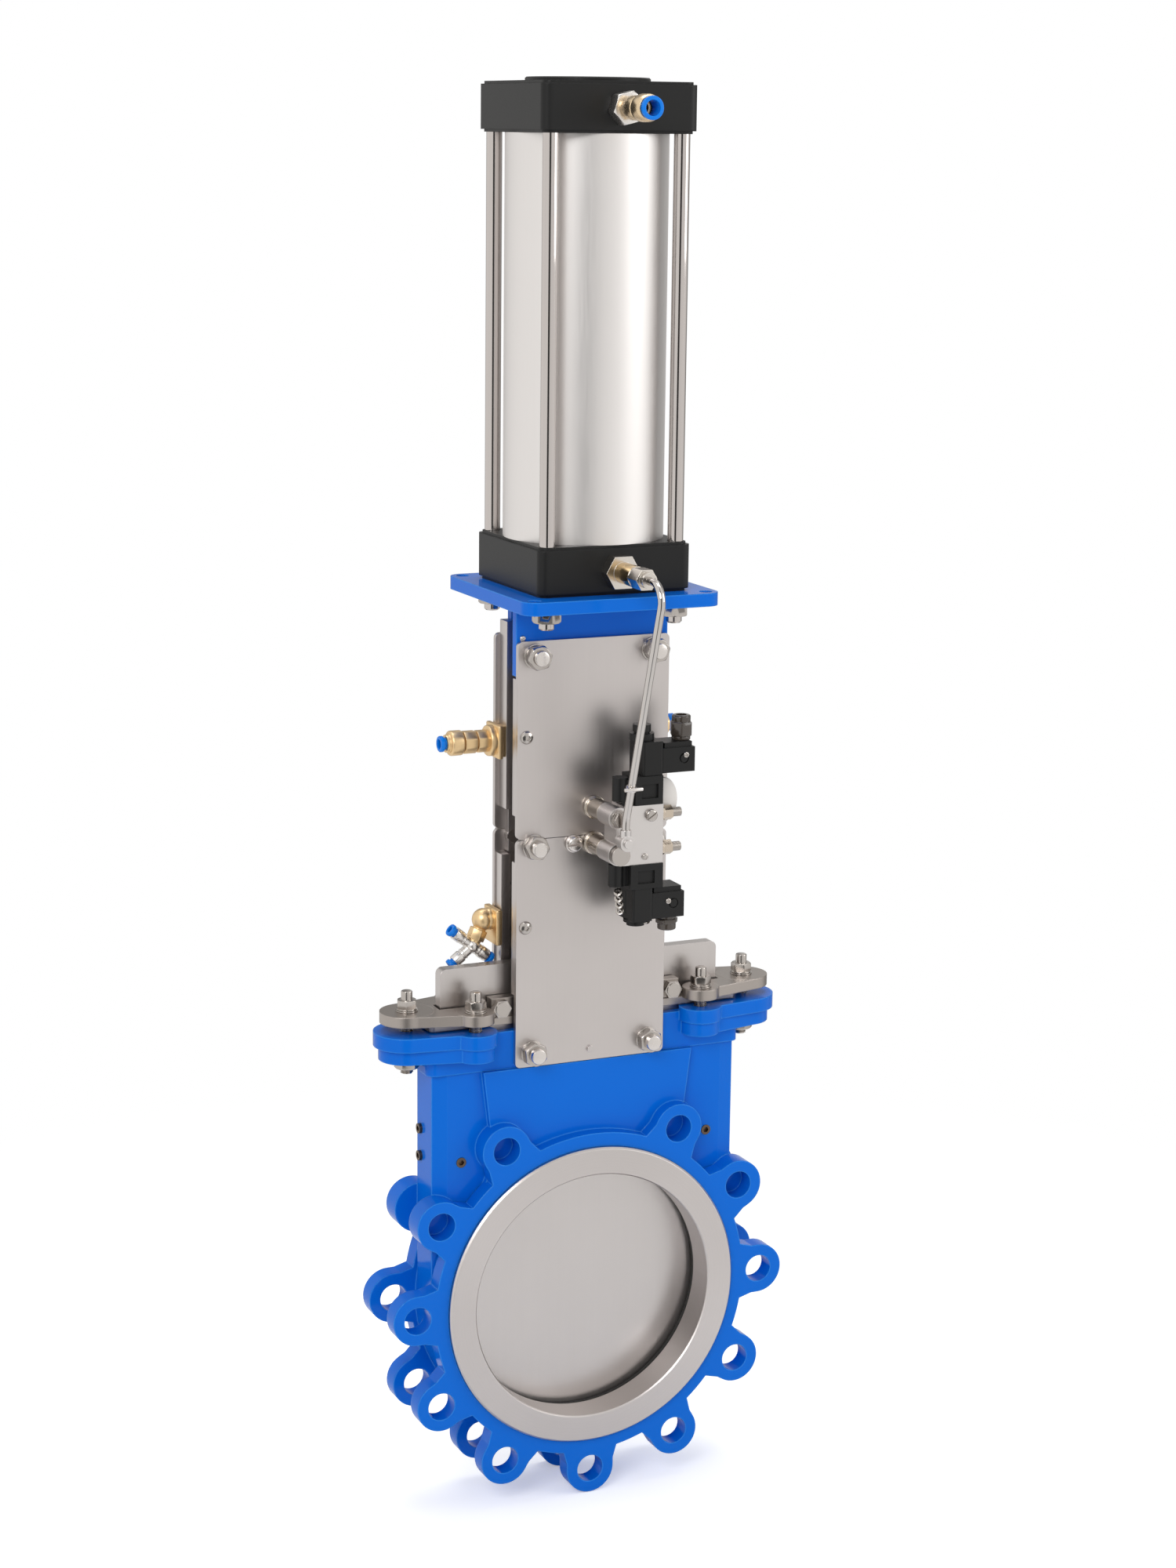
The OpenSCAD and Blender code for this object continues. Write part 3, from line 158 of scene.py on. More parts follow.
studio = {
    "softboxes": (
        ("keySoftbox", (-2.4, -2.6, 2.6), 1.8, 60),
        ("fillSoftbox", (2.8, -2.0, 1.6), 2.0, 28),
        ("topSoftbox", (0.2, 0.6, 3.4), 2.2, 40),
    ),
    "aim": (0, 0.04, 0.4),
    "ambient": 0.55,
    "floorSize": 60,
    "floorDrop": 0.0005,
    "floorTone": 0.9,
    # Light that the camera sees on the floor by itself, and where the floor turns plain white
    "floorLift": 0.35,
    "floorFade": (0.35, 1.1),
    # What reflections see all round, as compass angle in degrees and brightness, and its tint
    "room": ((-180, 0.93), (-150, 0.94), (-132, 0.92), (-127, 0.05), (-107, 0.05), (-101, 0.86), (-30, 0.92),
             (0, 0.80), (12, 0.30), (38, 0.34), (55, 0.85), (72, 0.30), (92, 0.34), (104, 0.80), (140, 0.95),
             (179, 0.93)),
    "roomTint": (1, 0.985, 0.965),
}


def makeRoomGroup():
    # Brightness of the room in a direction: pale walls with soft dark uprights between them
    group, source, sink = startGroup(
        "roomShade", (("Towards", "Vector", (0.0, 0.0, 0.0)),), (("Shade", "Color"),))
    split = addNode(group, "SeparateXYZ", {0: source["Towards"]}).outputs
    angle = mathNode(group, "ARCTAN2", split["Y"], split["X"])
    ramp = addNode(group, "ValToRGB", {"Fac": spread(group, angle, start=-math.pi, end=math.pi)})
    ramp.color_ramp.interpolation = "EASE"
    stops = ramp.color_ramp.elements
    while len(stops) < len(studio["room"]):
        stops.new(0.5)
    for stop, (degrees, level) in zip(stops, studio["room"]):
        stop.position = (degrees + 180) / 360
    for stop, (degrees, level) in zip(stops, studio["room"]):
        stop.color = (*(level * part for part in studio["roomTint"]), 1)
    group.links.new(ramp.outputs["Color"], sink["Shade"])
    return group


roomGroup = makeRoomGroup()


def addSoftbox(name, place, size, power):
    data = bpy.data.lights.new(name, "AREA")
    data.shape = "SQUARE"
    data.size = size
    data.energy = power
    lamp = bpy.data.objects.new(name, data)
    bpy.context.scene.collection.objects.link(lamp)
    lamp.location = place
    lamp.rotation_euler = (Vector(place) - Vector(studio["aim"])).to_track_quat("Z", "Y").to_euler()


def makeWorld():
    # Even light on the object, while the camera sees white and reflections see the room
    world = bpy.data.worlds.new("studioWorld")
    bpy.context.scene.world = world
    world.use_nodes = True
    tree = world.node_tree
    tree.nodes.clear()
    ambient = addNode(tree, "Background", {"Color": (1, 1, 1, 1), "Strength": studio["ambient"]})
    room = useGroup(tree, roomGroup, Towards=addNode(tree, "TexCoord").outputs["Generated"])
    path = addNode(tree, "LightPath").outputs
    shade = mixColors(tree, path["Is Camera Ray"], room["Shade"], (1, 1, 1))
    seen = addNode(tree, "Background", {"Color": shade, "Strength": 1})
    direct = mathNode(tree, "MAXIMUM", path["Is Camera Ray"], path["Is Glossy Ray"])
    share = mathNode(tree, "MAXIMUM", direct, path["Is Transmission Ray"])
    both = addNode(tree, "MixShader", {"Fac": share, 1: ambient.outputs[0], 2: seen.outputs[0]})
    addNode(tree, "OutputWorld", {"Surface": both.outputs[0]})


def makeFloor():
    # Matt near the object, so that it takes a shadow, and plain white further out
    lowest = cadBox[0][2] - studio["floorDrop"]
    bpy.ops.object.select_all(action="DESELECT")
    bpy.ops.mesh.primitive_plane_add(size=studio["floorSize"], location=(0, 0, lowest))
    floor = bpy.context.object
    floor.name = "studioFloor"
    material, tree = startMaterial("studioFloorWhite")
    matt = addNode(tree, "BsdfDiffuse", {"Color": (*[studio["floorTone"]] * 3, 1)})
    place = addNode(tree, "TexCoord").outputs["Object"]
    room = useGroup(tree, roomGroup, Towards=place)
    path = addNode(tree, "LightPath").outputs
    lifted = mathNode(tree, "MULTIPLY", path["Is Camera Ray"], studio["floorLift"])
    lift = addNode(tree, "Emission", {"Strength": lifted})
    lit = addNode(tree, "AddShader", {0: matt.outputs[0], 1: lift.outputs[0]})
    shade = mixColors(tree, path["Is Glossy Ray"], (1, 1, 1), room["Shade"])
    far = addNode(tree, "Emission", {"Color": shade})
    start, end = studio["floorFade"]
    away = vectorNode(tree, "LENGTH", place)
    fade = spread(tree, away, start=start, end=end, interpolation_type="SMOOTHSTEP")
    whole = addNode(tree, "MixShader", {"Fac": fade, 1: lit.outputs[0], 2: far.outputs[0]})
    addNode(tree, "OutputMaterial", {"Surface": whole.outputs[0]})
    floor.data.materials.append(material)


makeCamera()
makeWorld()
makeFloor()
for values in studio["softboxes"]:
    addSoftbox(*values)
bpy.context.scene.view_settings.view_transform = "Standard"
print("stage: camera and studio ready")


# Shared effects, each built once and used by several finishes

def makeGrainGroup():
    # Fine grain that can be stretched into brushed lines
    group, source, sink = startGroup(
        "grain",
        (("Scale", "Float", 800.0), ("Stretch", "Vector", (1.0, 1.0, 1.0))),
        (("Fine", "Float"), ("Cloud", "Float")))
    place = addNode(group, "TexCoord").outputs["Object"]
    stretched = vectorNode(group, "MULTIPLY", place, source["Stretch"])
    group.links.new(noiseNode(group, stretched, source["Scale"], 4, 0.6), sink["Fine"])
    group.links.new(noiseNode(group, place, 9.0, 3, 0.55), sink["Cloud"])
    return group


def makeTurnedGroup():
    # Rings about an axis: lathe marks, and a painted sheen of lighter and darker sectors round the axis.
    # Centre is a point on the axis, Keep drops the axis' own direction.
    group, source, sink = startGroup(
        "latheMarks",
        (("Centre", "Vector", (0.0, 0.0, 0.0)), ("Keep", "Vector", (1.0, 0.0, 1.0)),
         ("Scale", "Float", 900.0)),
        (("Rings", "Float"), ("PaintedSheen", "Float")))
    place = addNode(group, "TexCoord").outputs["Object"]
    moved = vectorNode(group, "SUBTRACT", place, source["Centre"])
    flat = vectorNode(group, "MULTIPLY", moved, source["Keep"])
    along = addNode(group, "CombineXYZ", {0: vectorNode(group, "LENGTH", flat)}).outputs[0]
    group.links.new(noiseNode(group, along, source["Scale"], 4, 0.65), sink["Rings"])
    group.links.new(noiseNode(group, vectorNode(group, "NORMALIZE", flat), 2.2, 2, 0.5), sink["PaintedSheen"])
    return group


def makeEdgeGroup():
    # Rounded normals at edges, and a mask of where those edges are
    group, source, sink = startGroup(
        "softEdges", (("Radius", "Float", 0.0008),), (("Normal", "Vector"), ("Edge", "Float")))
    rounded = addNode(group, "Bevel", {"Radius": source["Radius"]}, samples=4).outputs[0]
    flat = addNode(group, "NewGeometry").outputs["Normal"]
    away = mathNode(group, "SUBTRACT", 1.0, vectorNode(group, "DOT_PRODUCT", rounded, flat))
    edge = mathNode(group, "MULTIPLY", away, 4.0)
    group.links.new(rounded, sink["Normal"])
    group.links.new(mathNode(group, "MINIMUM", edge, 1.0), sink["Edge"])
    return group


grainGroup = makeGrainGroup()
turnedGroup = makeTurnedGroup()
edgeGroup = makeEdgeGroup()


def startFinish(name):
    material, tree = startMaterial(name)
    shader = addNode(tree, "BsdfPrincipled")
    addNode(tree, "OutputMaterial", {"Surface": shader.outputs[0]})
    return material, tree, shader


def finishSurface(tree, shader, fine, tone, light, edgeSheenAndWear, rough, soft, depth, relief=0.0001, **plain):
    # Paler edges, partly wear and partly a painted highlight, and a roughness and relief that follow the fine
    # marks
    edges = useGroup(tree, edgeGroup, Radius=soft)
    edge = mathNode(tree, "MULTIPLY", edges["Edge"], edgeSheenAndWear)
    bump = addNode(tree, "Bump", {"Height": fine, "Strength": depth, "Distance": relief,
                                  "Normal": edges["Normal"]})
    tree.links.new(mixColors(tree, edge, tone, light), shader.inputs["Base Color"])
    tree.links.new(spread(tree, fine, *rough), shader.inputs["Roughness"])
    tree.links.new(bump.outputs[0], shader.inputs["Normal"])
    for label, value in plain.items():
        shader.inputs[label.replace("_", " ")].default_value = value


def scaled(colour, share, lift=0.0):
    return tuple(min(1, part * share + lift) for part in colour)


# Finishes

# Edges of the enamel are painted a paler blue: a painted highlight along every edge, not wear.
enamel = {"colour": (0.0012, 0.142, 0.65), "deep": (0.0008, 0.108, 0.54), "edgeHighlight": (0.06, 0.38, 1.0),
          "scale": 420.0, "cloud": 0.35, "edgeSheenAndWear": 0.8, "rough": (0.10, 0.20), "soft": 0.0018, "ripple": 0.12,
          "relief": 0.0002, "specular": 0.14}


def makeEnamel():
    look = enamel
    material, tree, shader = startFinish("blueEnamel")
    grain = useGroup(tree, grainGroup, Scale=look["scale"])
    body = mixColors(tree, spread(tree, grain["Cloud"], 0.0, look["cloud"]), look["colour"], look["deep"])
    finishSurface(tree, shader, grain["Fine"], body, look["edgeHighlight"], look["edgeSheenAndWear"], look["rough"],
                  look["soft"], look["ripple"], look["relief"], Specular_IOR_Level=look["specular"])
    return material


# Edges are painted paler by the light share: partly wear, partly a painted highlight.
brushed = {"lines": 0.25, "light": 1.25, "edgeSheenAndWear": 0.6, "rough": (-0.06, 0.08)}


def makeBrushed(name, colour, rough, stretch, scale=500.0, soft=0.0004, depth=0.08, smudge=0.10):
    look = brushed
    material, tree, shader = startFinish(name)
    grain = useGroup(tree, grainGroup, Scale=scale, Stretch=stretch)
    dark = scaled(colour, 1 - smudge)
    tone = mixColors(tree, grain["Cloud"], dark, colour)
    lined = mixColors(tree, spread(tree, grain["Fine"], 0.0, look["lines"]), tone, dark)
    finishSurface(tree, shader, grain["Fine"], lined, scaled(colour, look["light"]), look["edgeSheenAndWear"],
                  [rough + part for part in look["rough"]], soft, depth, Metallic=1.0)
    return material


# Edges are painted paler by the light share: partly wear, partly a painted highlight.
turned = {"dark": 0.86, "paintedSheen": 0.3, "light": 1.2, "edgeSheenAndWear": 0.6, "rough": (-0.05, 0.08)}


def makeTurned(name, colour, rough, centre, keep, scale=900.0, soft=0.0004, depth=0.12, swirl=0.0):
    look = turned
    material, tree, shader = startFinish(name)
    marks = useGroup(tree, turnedGroup, Centre=centre, Keep=keep, Scale=scale)
    dark = scaled(colour, look["dark"])
    tone = mixColors(tree, marks["Rings"], dark, colour)
    # Darker sectors round the axis: a painted sheen of a turned face, not marks in the metal.
    sheenShaded = mixColors(tree, spread(tree, marks["PaintedSheen"], 0.0, look["paintedSheen"]), tone, dark)
    finishSurface(tree, shader, marks["Rings"], sheenShaded, scaled(colour, look["light"]), look["edgeSheenAndWear"],
                  [rough + part for part in look["rough"]], soft, depth, Metallic=1.0, Anisotropic=swirl)
    if swirl:
        tangent = addNode(tree, "Tangent", direction_type="RADIAL", axis="Y")
        tree.links.new(tangent.outputs[0], shader.inputs["Tangent"])
    return material


# The light colour serves the random cloud and the edges; at the edges it is partly wear, partly a painted
# highlight.
moulded = {"cloud": 0.3, "light": 1.8, "lift": 0.004, "edgeSheenAndWear": 0.5, "rough": (-0.05, 0.07)}


def makeMoulded(name, colour, rough, soft=0.0006, scale=1400.0, depth=0.15, level=0.4):
    look = moulded
    material, tree, shader = startFinish(name)
    grain = useGroup(tree, grainGroup, Scale=scale)
    light = scaled(colour, look["light"], look["lift"])
    tone = mixColors(tree, spread(tree, grain["Cloud"], 0.0, look["cloud"]), colour, light)
    finishSurface(tree, shader, grain["Fine"], tone, light, look["edgeSheenAndWear"],
                  [rough + part for part in look["rough"]], soft, depth, Specular_IOR_Level=level)
    return material


# The edge colour is painted along edges: partly wear, partly a painted highlight.
layered = {"nickel": (0.70, 0.66, 0.61), "brass": (0.80, 0.58, 0.30), "edge": (0.9, 0.86, 0.80),
           "from": -0.0600, "to": -0.0365, "scale": 900.0, "edgeSheenAndWear": 0.5, "rough": (0.14, 0.26), "soft": 0.0004,
           "depth": 0.03}


def makeLayered(name):
    # Nickel with a brass stretch between two depths along Y
    look = layered
    material, tree, shader = startFinish(name)
    grain = useGroup(tree, grainGroup, Scale=look["scale"])
    spot = addNode(tree, "TexCoord").outputs["Object"]
    along = addNode(tree, "SeparateXYZ", {0: spot}).outputs["Y"]
    inner = mathNode(tree, "GREATER_THAN", along, look["from"])
    outer = mathNode(tree, "LESS_THAN", along, look["to"])
    metal = mixColors(tree, mathNode(tree, "MULTIPLY", inner, outer), look["nickel"], look["brass"])
    finishSurface(tree, shader, grain["Fine"], metal, look["edge"], look["edgeSheenAndWear"], look["rough"], look["soft"],
                  look["depth"], Metallic=1.0)
    return material


# Grain is drawn out along the axis with the small factor, and even grain has no direction
even = (1.0, 1.0, 1.0)
finishes = {
    "enamel": makeEnamel(),
    "plate": makeBrushed("satinPlate", (0.64, 0.60, 0.585), 0.34, (1.0, 1.0, 0.03), smudge=0.14),
    "gate": makeBrushed("gateFace", (0.62, 0.585, 0.57), 0.30, (1.0, 1.0, 0.02), smudge=0.08),
    "ring": makeTurned("turnedRing", (0.64, 0.60, 0.585), 0.30, (0.0, 0.0, 0.0), (1.0, 0.0, 1.0), 700.0,
                       0.0008, 0.02, 0.7),
    "clamp": makeBrushed("blastedClamp", (0.43, 0.39, 0.36), 0.34, even, 900.0, 0.0012),
    "fastener": makeBrushed("brightFastener", (0.52, 0.485, 0.455), 0.20, even, 700.0, 0.0004),
    "spacer": makeBrushed("spacerPlate", (0.60, 0.54, 0.47), 0.16, even, 900.0, 0.0006, 0.03, 0.12),
    "lug": makeMoulded("paleLug", (0.70, 0.66, 0.62), 0.4, 0.0006, 900.0, 0.05, 0.4),
    "tip": makeBrushed("studEnd", (0.72, 0.68, 0.65), 0.24, even, 900.0, 0.0004, 0.04, 0.05),
    "thread": makeBrushed("screwThread", (0.50, 0.46, 0.42), 0.22, (60.0, 1.0, 1.0), 300.0, 0.0004, 0.5, 0.4),
    "lowPort": makeLayered("lowPortLayers"),
    "rod": makeBrushed("polishedRod", (0.60, 0.56, 0.54), 0.04, (1.0, 1.0, 0.05), 900.0, 0.0003, 0.004, 0.04),
    "airTube": makeBrushed("bentTube", (0.60, 0.57, 0.55), 0.04, even, 900.0, 0.0002, 0.004, 0.04),
    "nickel": makeBrushed("nickelPlate", (0.82, 0.79, 0.76), 0.27, even, 900.0, 0.0004, 0.03, 0.12),
    "tube": makeBrushed("anodisedTube", (0.80, 0.775, 0.76), 0.42, (1.0, 1.0, 0.04), 700.0, 0.0004,
                        0.03, 0.04),
    "block": makeBrushed("valveBlock", (0.68, 0.65, 0.635), 0.34, even, 1100.0, 0.0005, 0.05, 0.06),
    "cap": makeMoulded("blackCapPaint", (0.010, 0.010, 0.010), 0.36, 0.0018, 900.0, 0.08, 0.22),
    "plastic": makeMoulded("blackPlastic", (0.009, 0.009, 0.009), 0.34, 0.0006, 1400.0, 0.12, 0.26),
    "rubber": makeMoulded("blackRubber", (0.016, 0.016, 0.016), 0.6),
    "collet": makeMoulded("blueCollet", (0.0005, 0.165, 0.66), 0.28, 0.0004, 900.0, 0.05, 0.25),
    "brass": makeTurned("turnedBrass", (0.88, 0.645, 0.36), 0.36, (0.0, 0.058, 0.442), (0.0, 1.0, 1.0)),
    "portBrass": makeBrushed("portBrass", (0.84, 0.66, 0.43), 0.26, even, 900.0, 0.0004, 0.03, 0.1),
    "bronze": makeBrushed("bushBronze", (0.62, 0.38, 0.20), 0.3, even),
    "gland": makeMoulded("smokedGland", (0.042, 0.032, 0.025), 0.13, 0.0009, 900.0, 0.05, 0.8),
    "plug": makeBrushed("darkPlug", (0.16, 0.115, 0.085), 0.34, even, 900.0, 0.0004, 0.05, 0.2),
    "throttle": makeBrushed("tintedBrass", (0.66, 0.57, 0.47), 0.20, even, 900.0, 0.0004, 0.03, 0.15),
    "guide": makeMoulded("guidePlastic", (0.70, 0.68, 0.60), 0.5),
    "packing": makeMoulded("packingBraid", (0.16, 0.15, 0.14), 0.7, 0.0005, 500.0, 0.6),
}
finishOf = {
    "enamel": ["valve_body", "actuator_bracket"],
    "plate": ["yoke_plate_front_lower", "yoke_plate_front_upper", "yoke_plate_rear_lower",
              "yoke_plate_rear_upper", "yoke_splices", "yoke_rails"],
    "gate": ["gate_blade"],
    "ring": ["seat_rings"],
    "clamp": ["gland_clamp_left", "gland_clamp_right", "packing_gland"],
    "fastener": ["gland_studs", "gland_nuts", "gland_bar_screws", "yoke_studs", "yoke_nuts", "rail_screws",
                 "tie_rod_nuts", "valve_screws", "clevis_locknut", "piston_nut", "gate_clevis",
                 "clevis_pin"],
    "plug": ["body_plugs"],
    "rod": ["tie_rods", "piston_rod"],
    "airTube": ["air_tube"],
    "lowPort": ["lower_port_fitting"],
    "nickel": ["side_port_lower", "valve_standoffs"],
    "throttle": ["exhaust_throttles"],
    "thread": ["throttle_screw_upper", "throttle_screw_lower"],
    "tube": ["cylinder_tube", "piston"],
    "block": ["solenoid_valve_block"],
    "cap": ["cylinder_cap_lower", "cylinder_cap_upper"],
    "plastic": ["pilot_bases", "solenoid_coils", "coil_nuts", "coil_connectors"],
    "rubber": ["seat_seals", "cylinder_orings", "rod_seals", "piston_seals"],
    "collet": ["upper_port_collet", "side_port_plug", "side_collet_upper", "side_collet_lower_left",
               "side_collet_lower_right", "side_collet_lower_branch"],
    "brass": ["side_ports_upper"],
    "portBrass": ["upper_port_fitting"],
    "bronze": ["rod_bush"],
    "gland": ["cable_glands"],
    "guide": ["gate_guides"],
    "packing": ["packing_rings"],
}


def paint(piece, finish):
    if not piece.material_slots:
        piece.data.materials.append(finishes[finish])
    for slot in piece.material_slots:
        slot.material = finishes[finish]


for finish, names in finishOf.items():
    for name in names:
        paint(nodes[name], finish)
print("stage: finishes placed on", sum(len(names) for names in finishOf.values()), "nodes")


# Modelling by hand, in mm: every template stands on the origin along +Z and is copied from there

def inMetres(values):
    return [value * mm for value in values]


def letGo():
    for thing in bpy.context.selected_objects:
        thing.select_set(False)


def hold(piece):
    letGo()
    piece.select_set(True)
    bpy.context.view_layer.objects.active = piece


def settle(piece, name, scale=(1, 1, 1)):
    piece.name = name
    piece.scale = scale
    hold(piece)
    bpy.ops.object.transform_apply(location=True, rotation=True, scale=True)
    return piece


def applyAll(piece):
    hold(piece)
    for modifier in list(piece.modifiers):
        bpy.ops.object.modifier_apply(modifier=modifier.name)
    return piece


def addRound(name, radius, height, base=0.0, sides=48, turn=0.0):
    letGo()
    bpy.ops.mesh.primitive_cylinder_add(vertices=sides, radius=radius * mm, depth=height * mm,
                                        location=(0, 0, (base + height / 2) * mm), rotation=(0, 0, turn))
    return settle(bpy.context.object, name)


def addPrism(name, across, height, base, sides):
    # Straight prism given across its flats
    return addRound(name, across / 2 / math.cos(math.pi / sides), height, base, sides, math.pi / sides)


def addBall(name, radius, spot, segments):
    letGo()
    bpy.ops.mesh.primitive_uv_sphere_add(segments=segments, ring_count=segments // 2, radius=radius * mm,
                                         location=inMetres(spot))
    return settle(bpy.context.object, name)


def addBlock(name, size, spot, soft):
    letGo()
    bpy.ops.mesh.primitive_cube_add(size=1, location=inMetres(spot))
    return softenEdges(settle(bpy.context.object, name, inMetres(size)), soft, 3)


def pick(piece, kind, test):
    # Goes into edit mode with just the faces whose centre and normal pass the test,
    # or the edges whose two ends do
    hold(piece)
    bpy.ops.object.mode_set(mode="EDIT")
    bpy.ops.mesh.select_mode(type=kind)
    bpy.ops.mesh.select_all(action="DESELECT")
    leaveEdit()
    mesh = piece.data
    if kind == "FACE":
        for face in mesh.polygons:
            face.select = test(face.center, face.normal)
    else:
        for edge in mesh.edges:
            edge.select = test(*[mesh.vertices[end].co for end in edge.vertices])
    bpy.ops.object.mode_set(mode="EDIT")


def leaveEdit():
    bpy.ops.object.mode_set(mode="OBJECT")


def bevelTop(piece, top, width, segments):
    level = (top - 0.05) * mm
    pick(piece, "EDGE", lambda a, b: min(a.z, b.z) > level)
    bpy.ops.mesh.bevel(offset=width * mm, segments=segments)
    leaveEdit()
    return piece


def cutWith(piece, tool, operation="DIFFERENCE"):
    cut = piece.modifiers.new("cut", "BOOLEAN")
    cut.operation = operation
    cut.solver = "EXACT"
    cut.use_self = True
    cut.object = tool
    applyAll(piece)
    bpy.data.objects.remove(tool, do_unlink=True)
    return piece


def bore(piece, radius, base, sides=48):
    # Round hole from a height upwards, out of the piece
    return cutWith(piece, addRound("bore", radius, 60, base, sides))


def softenEdges(piece, width, segments=2, angle=40):
    bevel = piece.modifiers.new("soften", "BEVEL")
    bevel.width = width * mm
    bevel.segments = segments
    bevel.limit_method = "ANGLE"
    bevel.angle_limit = math.radians(angle)
    return applyAll(piece)


def softRound(name, radius, height, base, soft, segments=2, sides=64):
    return softenEdges(addRound(name, radius, height, base, sides), soft, segments)


def softPrism(name, across, height, base, sides, soft):
    return softenEdges(addPrism(name, across, height, base, sides), soft, 2, 25)


def joinPieces(name, pieces):
    letGo()
    for piece in pieces:
        piece.select_set(True)
    bpy.context.view_layer.objects.active = pieces[0]
    if len(pieces) > 1:
        bpy.ops.object.join()
    pieces[0].name = name
    return pieces[0]


def copyTo(template, places):
    # Each place is a matrix that carries a copy to its seat. The template itself goes.
    copies = []
    for place in places:
        copy = template.copy()
        copy.data = template.data.copy()
        copy.data.transform(place)
        bpy.context.scene.collection.objects.link(copy)
        copies.append(copy)
    bpy.data.objects.remove(template, do_unlink=True)
    return copies


def facing(direction, spot, turn=0.0):
    axis = Vector(direction).normalized()
    return (Matrix.Translation(inMetres(spot)) @ axis.to_track_quat("Z", "Y").to_matrix().to_4x4()
            @ Matrix.Rotation(math.radians(turn), 4, "Z"))


def finishPiece(name, pieces, finish, body, slot, *replaced):
    whole = joinPieces(name, pieces)
    hold(whole)
    bpy.ops.object.shade_smooth_by_angle(angle=math.radians(smoothAngle))
    whole.data.materials.clear()
    whole.data.materials.append(finishes[finish])
    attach(whole, body)
    if replaced:
        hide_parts(*replaced)


smoothAngle = 32
front, down, left, right, up = (0, -1, 0), (0, 0, -1), (-1, 0, 0), (1, 0, 0), (0, 0, 1)


# Threaded end: a helical thread about a core with a chamfered tip

thread = {"depth": 0.58, "crest": 0.35, "lead": 0.9, "steps": 20, "weld": 0.01, "coreSides": 32,
          "overlap": 0.03}


def makeThread(name, radius, length, pitch):
    t = thread
    depth = pitch * t["depth"]
    letGo()
    bpy.ops.mesh.primitive_plane_add(size=1, location=(0, 0, 0), rotation=(math.radians(90), 0, 0))
    ridge = settle(bpy.context.object, name + "Ridge")
    pick(ridge, "EDGE", lambda a, b: a.x > 0 and b.x > 0)
    bpy.ops.mesh.delete(type="EDGE")
    leaveEdit()
    pick(ridge, "EDGE", lambda a, b: a.x < 0 and b.x < 0)
    bpy.ops.transform.resize(value=(1, 1, t["crest"]))
    bpy.ops.mesh.select_all(action="SELECT")
    bpy.ops.transform.resize(value=(depth * mm, 1, pitch * mm))
    bpy.ops.transform.translate(value=((radius - depth / 2) * mm, 0, pitch / 2 * mm))
    leaveEdit()
    screw = ridge.modifiers.new("turn", "SCREW")
    screw.axis = "Z"
    screw.screw_offset = pitch * mm
    screw.iterations = int((length - t["lead"]) / pitch)
    screw.steps = t["steps"]
    screw.render_steps = t["steps"]
    screw.use_merge_vertices = True
    screw.merge_threshold = t["weld"] * mm
    applyAll(ridge)
    bpy.ops.object.mode_set(mode="EDIT")
    bpy.ops.mesh.select_all(action="SELECT")
    bpy.ops.mesh.remove_doubles(threshold=2 * t["weld"] * mm)
    bpy.ops.mesh.normals_make_consistent(inside=False)
    leaveEdit()
    core = addRound(name + "Core", radius - depth + t["overlap"], length, 0, t["coreSides"])
    return joinPieces(name, [bevelTop(core, length, t["lead"], 1), ridge])


# Fasteners: hexagon nut with turned corners and a countersunk bore, washer, slotted screw, stud end

hexNut = {"blank": 0.586, "corner": 0.075, "sinkWider": 0.55, "sinkDeep": 0.5, "sinkTaper": 0.8, "soft": 0.18}


def makeNut(name, across, height, hole, base=0.0):
    h = hexNut
    nut = addPrism(name, across, height, base, 6)
    blank = addRound(name + "Blank", across * h["blank"], height, base, 64)
    pick(blank, "EDGE", lambda a, b: abs(a.z - b.z) < 0.001 * mm)
    bpy.ops.mesh.bevel(offset=across * h["corner"] * mm, segments=1)
    leaveEdit()
    cutWith(nut, blank, "INTERSECT")
    sink = addRound(name + "Sink", hole / 2 + h["sinkWider"], height, base + height - h["sinkDeep"])
    pick(sink, "FACE", lambda centre, normal: normal.z < -0.9)
    bpy.ops.transform.resize(value=(h["sinkTaper"], h["sinkTaper"], 1))
    leaveEdit()
    return softenEdges(cutWith(nut, sink), h["soft"], 2, 25)


washerSoft = 0.3


def makeWasher(name, radius, height, base=0.0):
    return softRound(name, radius, height, base, min(1, height) * washerSoft)


# Shares of the head's height and radius
screwHead = {"domeHigh": 0.8, "domeWide": 0.4, "slotHigh": 0.9, "slotLong": 3, "crossLong": 1.1}


def makeDomedScrew(name, radius, height, slot, cross=False):
    s = screwHead
    dome = min(height * s["domeHigh"], radius * s["domeWide"])
    head = bevelTop(addRound(name, radius, height), height, dome, 4)
    for turn in ((0, 90) if cross else (0,)):
        letGo()
        bpy.ops.mesh.primitive_cube_add(size=1, location=(0, 0, height * mm),
                                        rotation=(0, 0, math.radians(turn)))
        size = inMetres((radius * s["crossLong" if cross else "slotLong"], slot, height * s["slotHigh"]))
        cutWith(head, settle(bpy.context.object, "slot", size))
    return head


def addTip(name, radius, height, base=0.0, chamfer=0.9):
    # Smooth end of a stud with a chamfered, slightly domed face
    return bevelTop(addRound(name, radius, height, base), base + height, chamfer, 2)


gland = {"endX": 143.5, "sideX": 96, "sideY": 23, "middleY": 38, "seat": 239.5, "foot": 202,
         # Radius, height and start above the seat
         "washers": ((8.7, 1.0, 0), (8.1, 0.9, 1.25)), "neck": (7.3, 2.0),
         "nut": (14.2, 6.8), "nutFrom": 2.15, "stud": 8.8, "studTop": 255.5, "lockNut": (17, 7.8),
         "thread": 10, "threadTop": 240, "endStudFoot": 190, "sideStudFoot": 204.3, "pitch": 1.5,
         "turns": (8, 23, 41, 5, 33, 52), "lockTurns": (12, 31)}


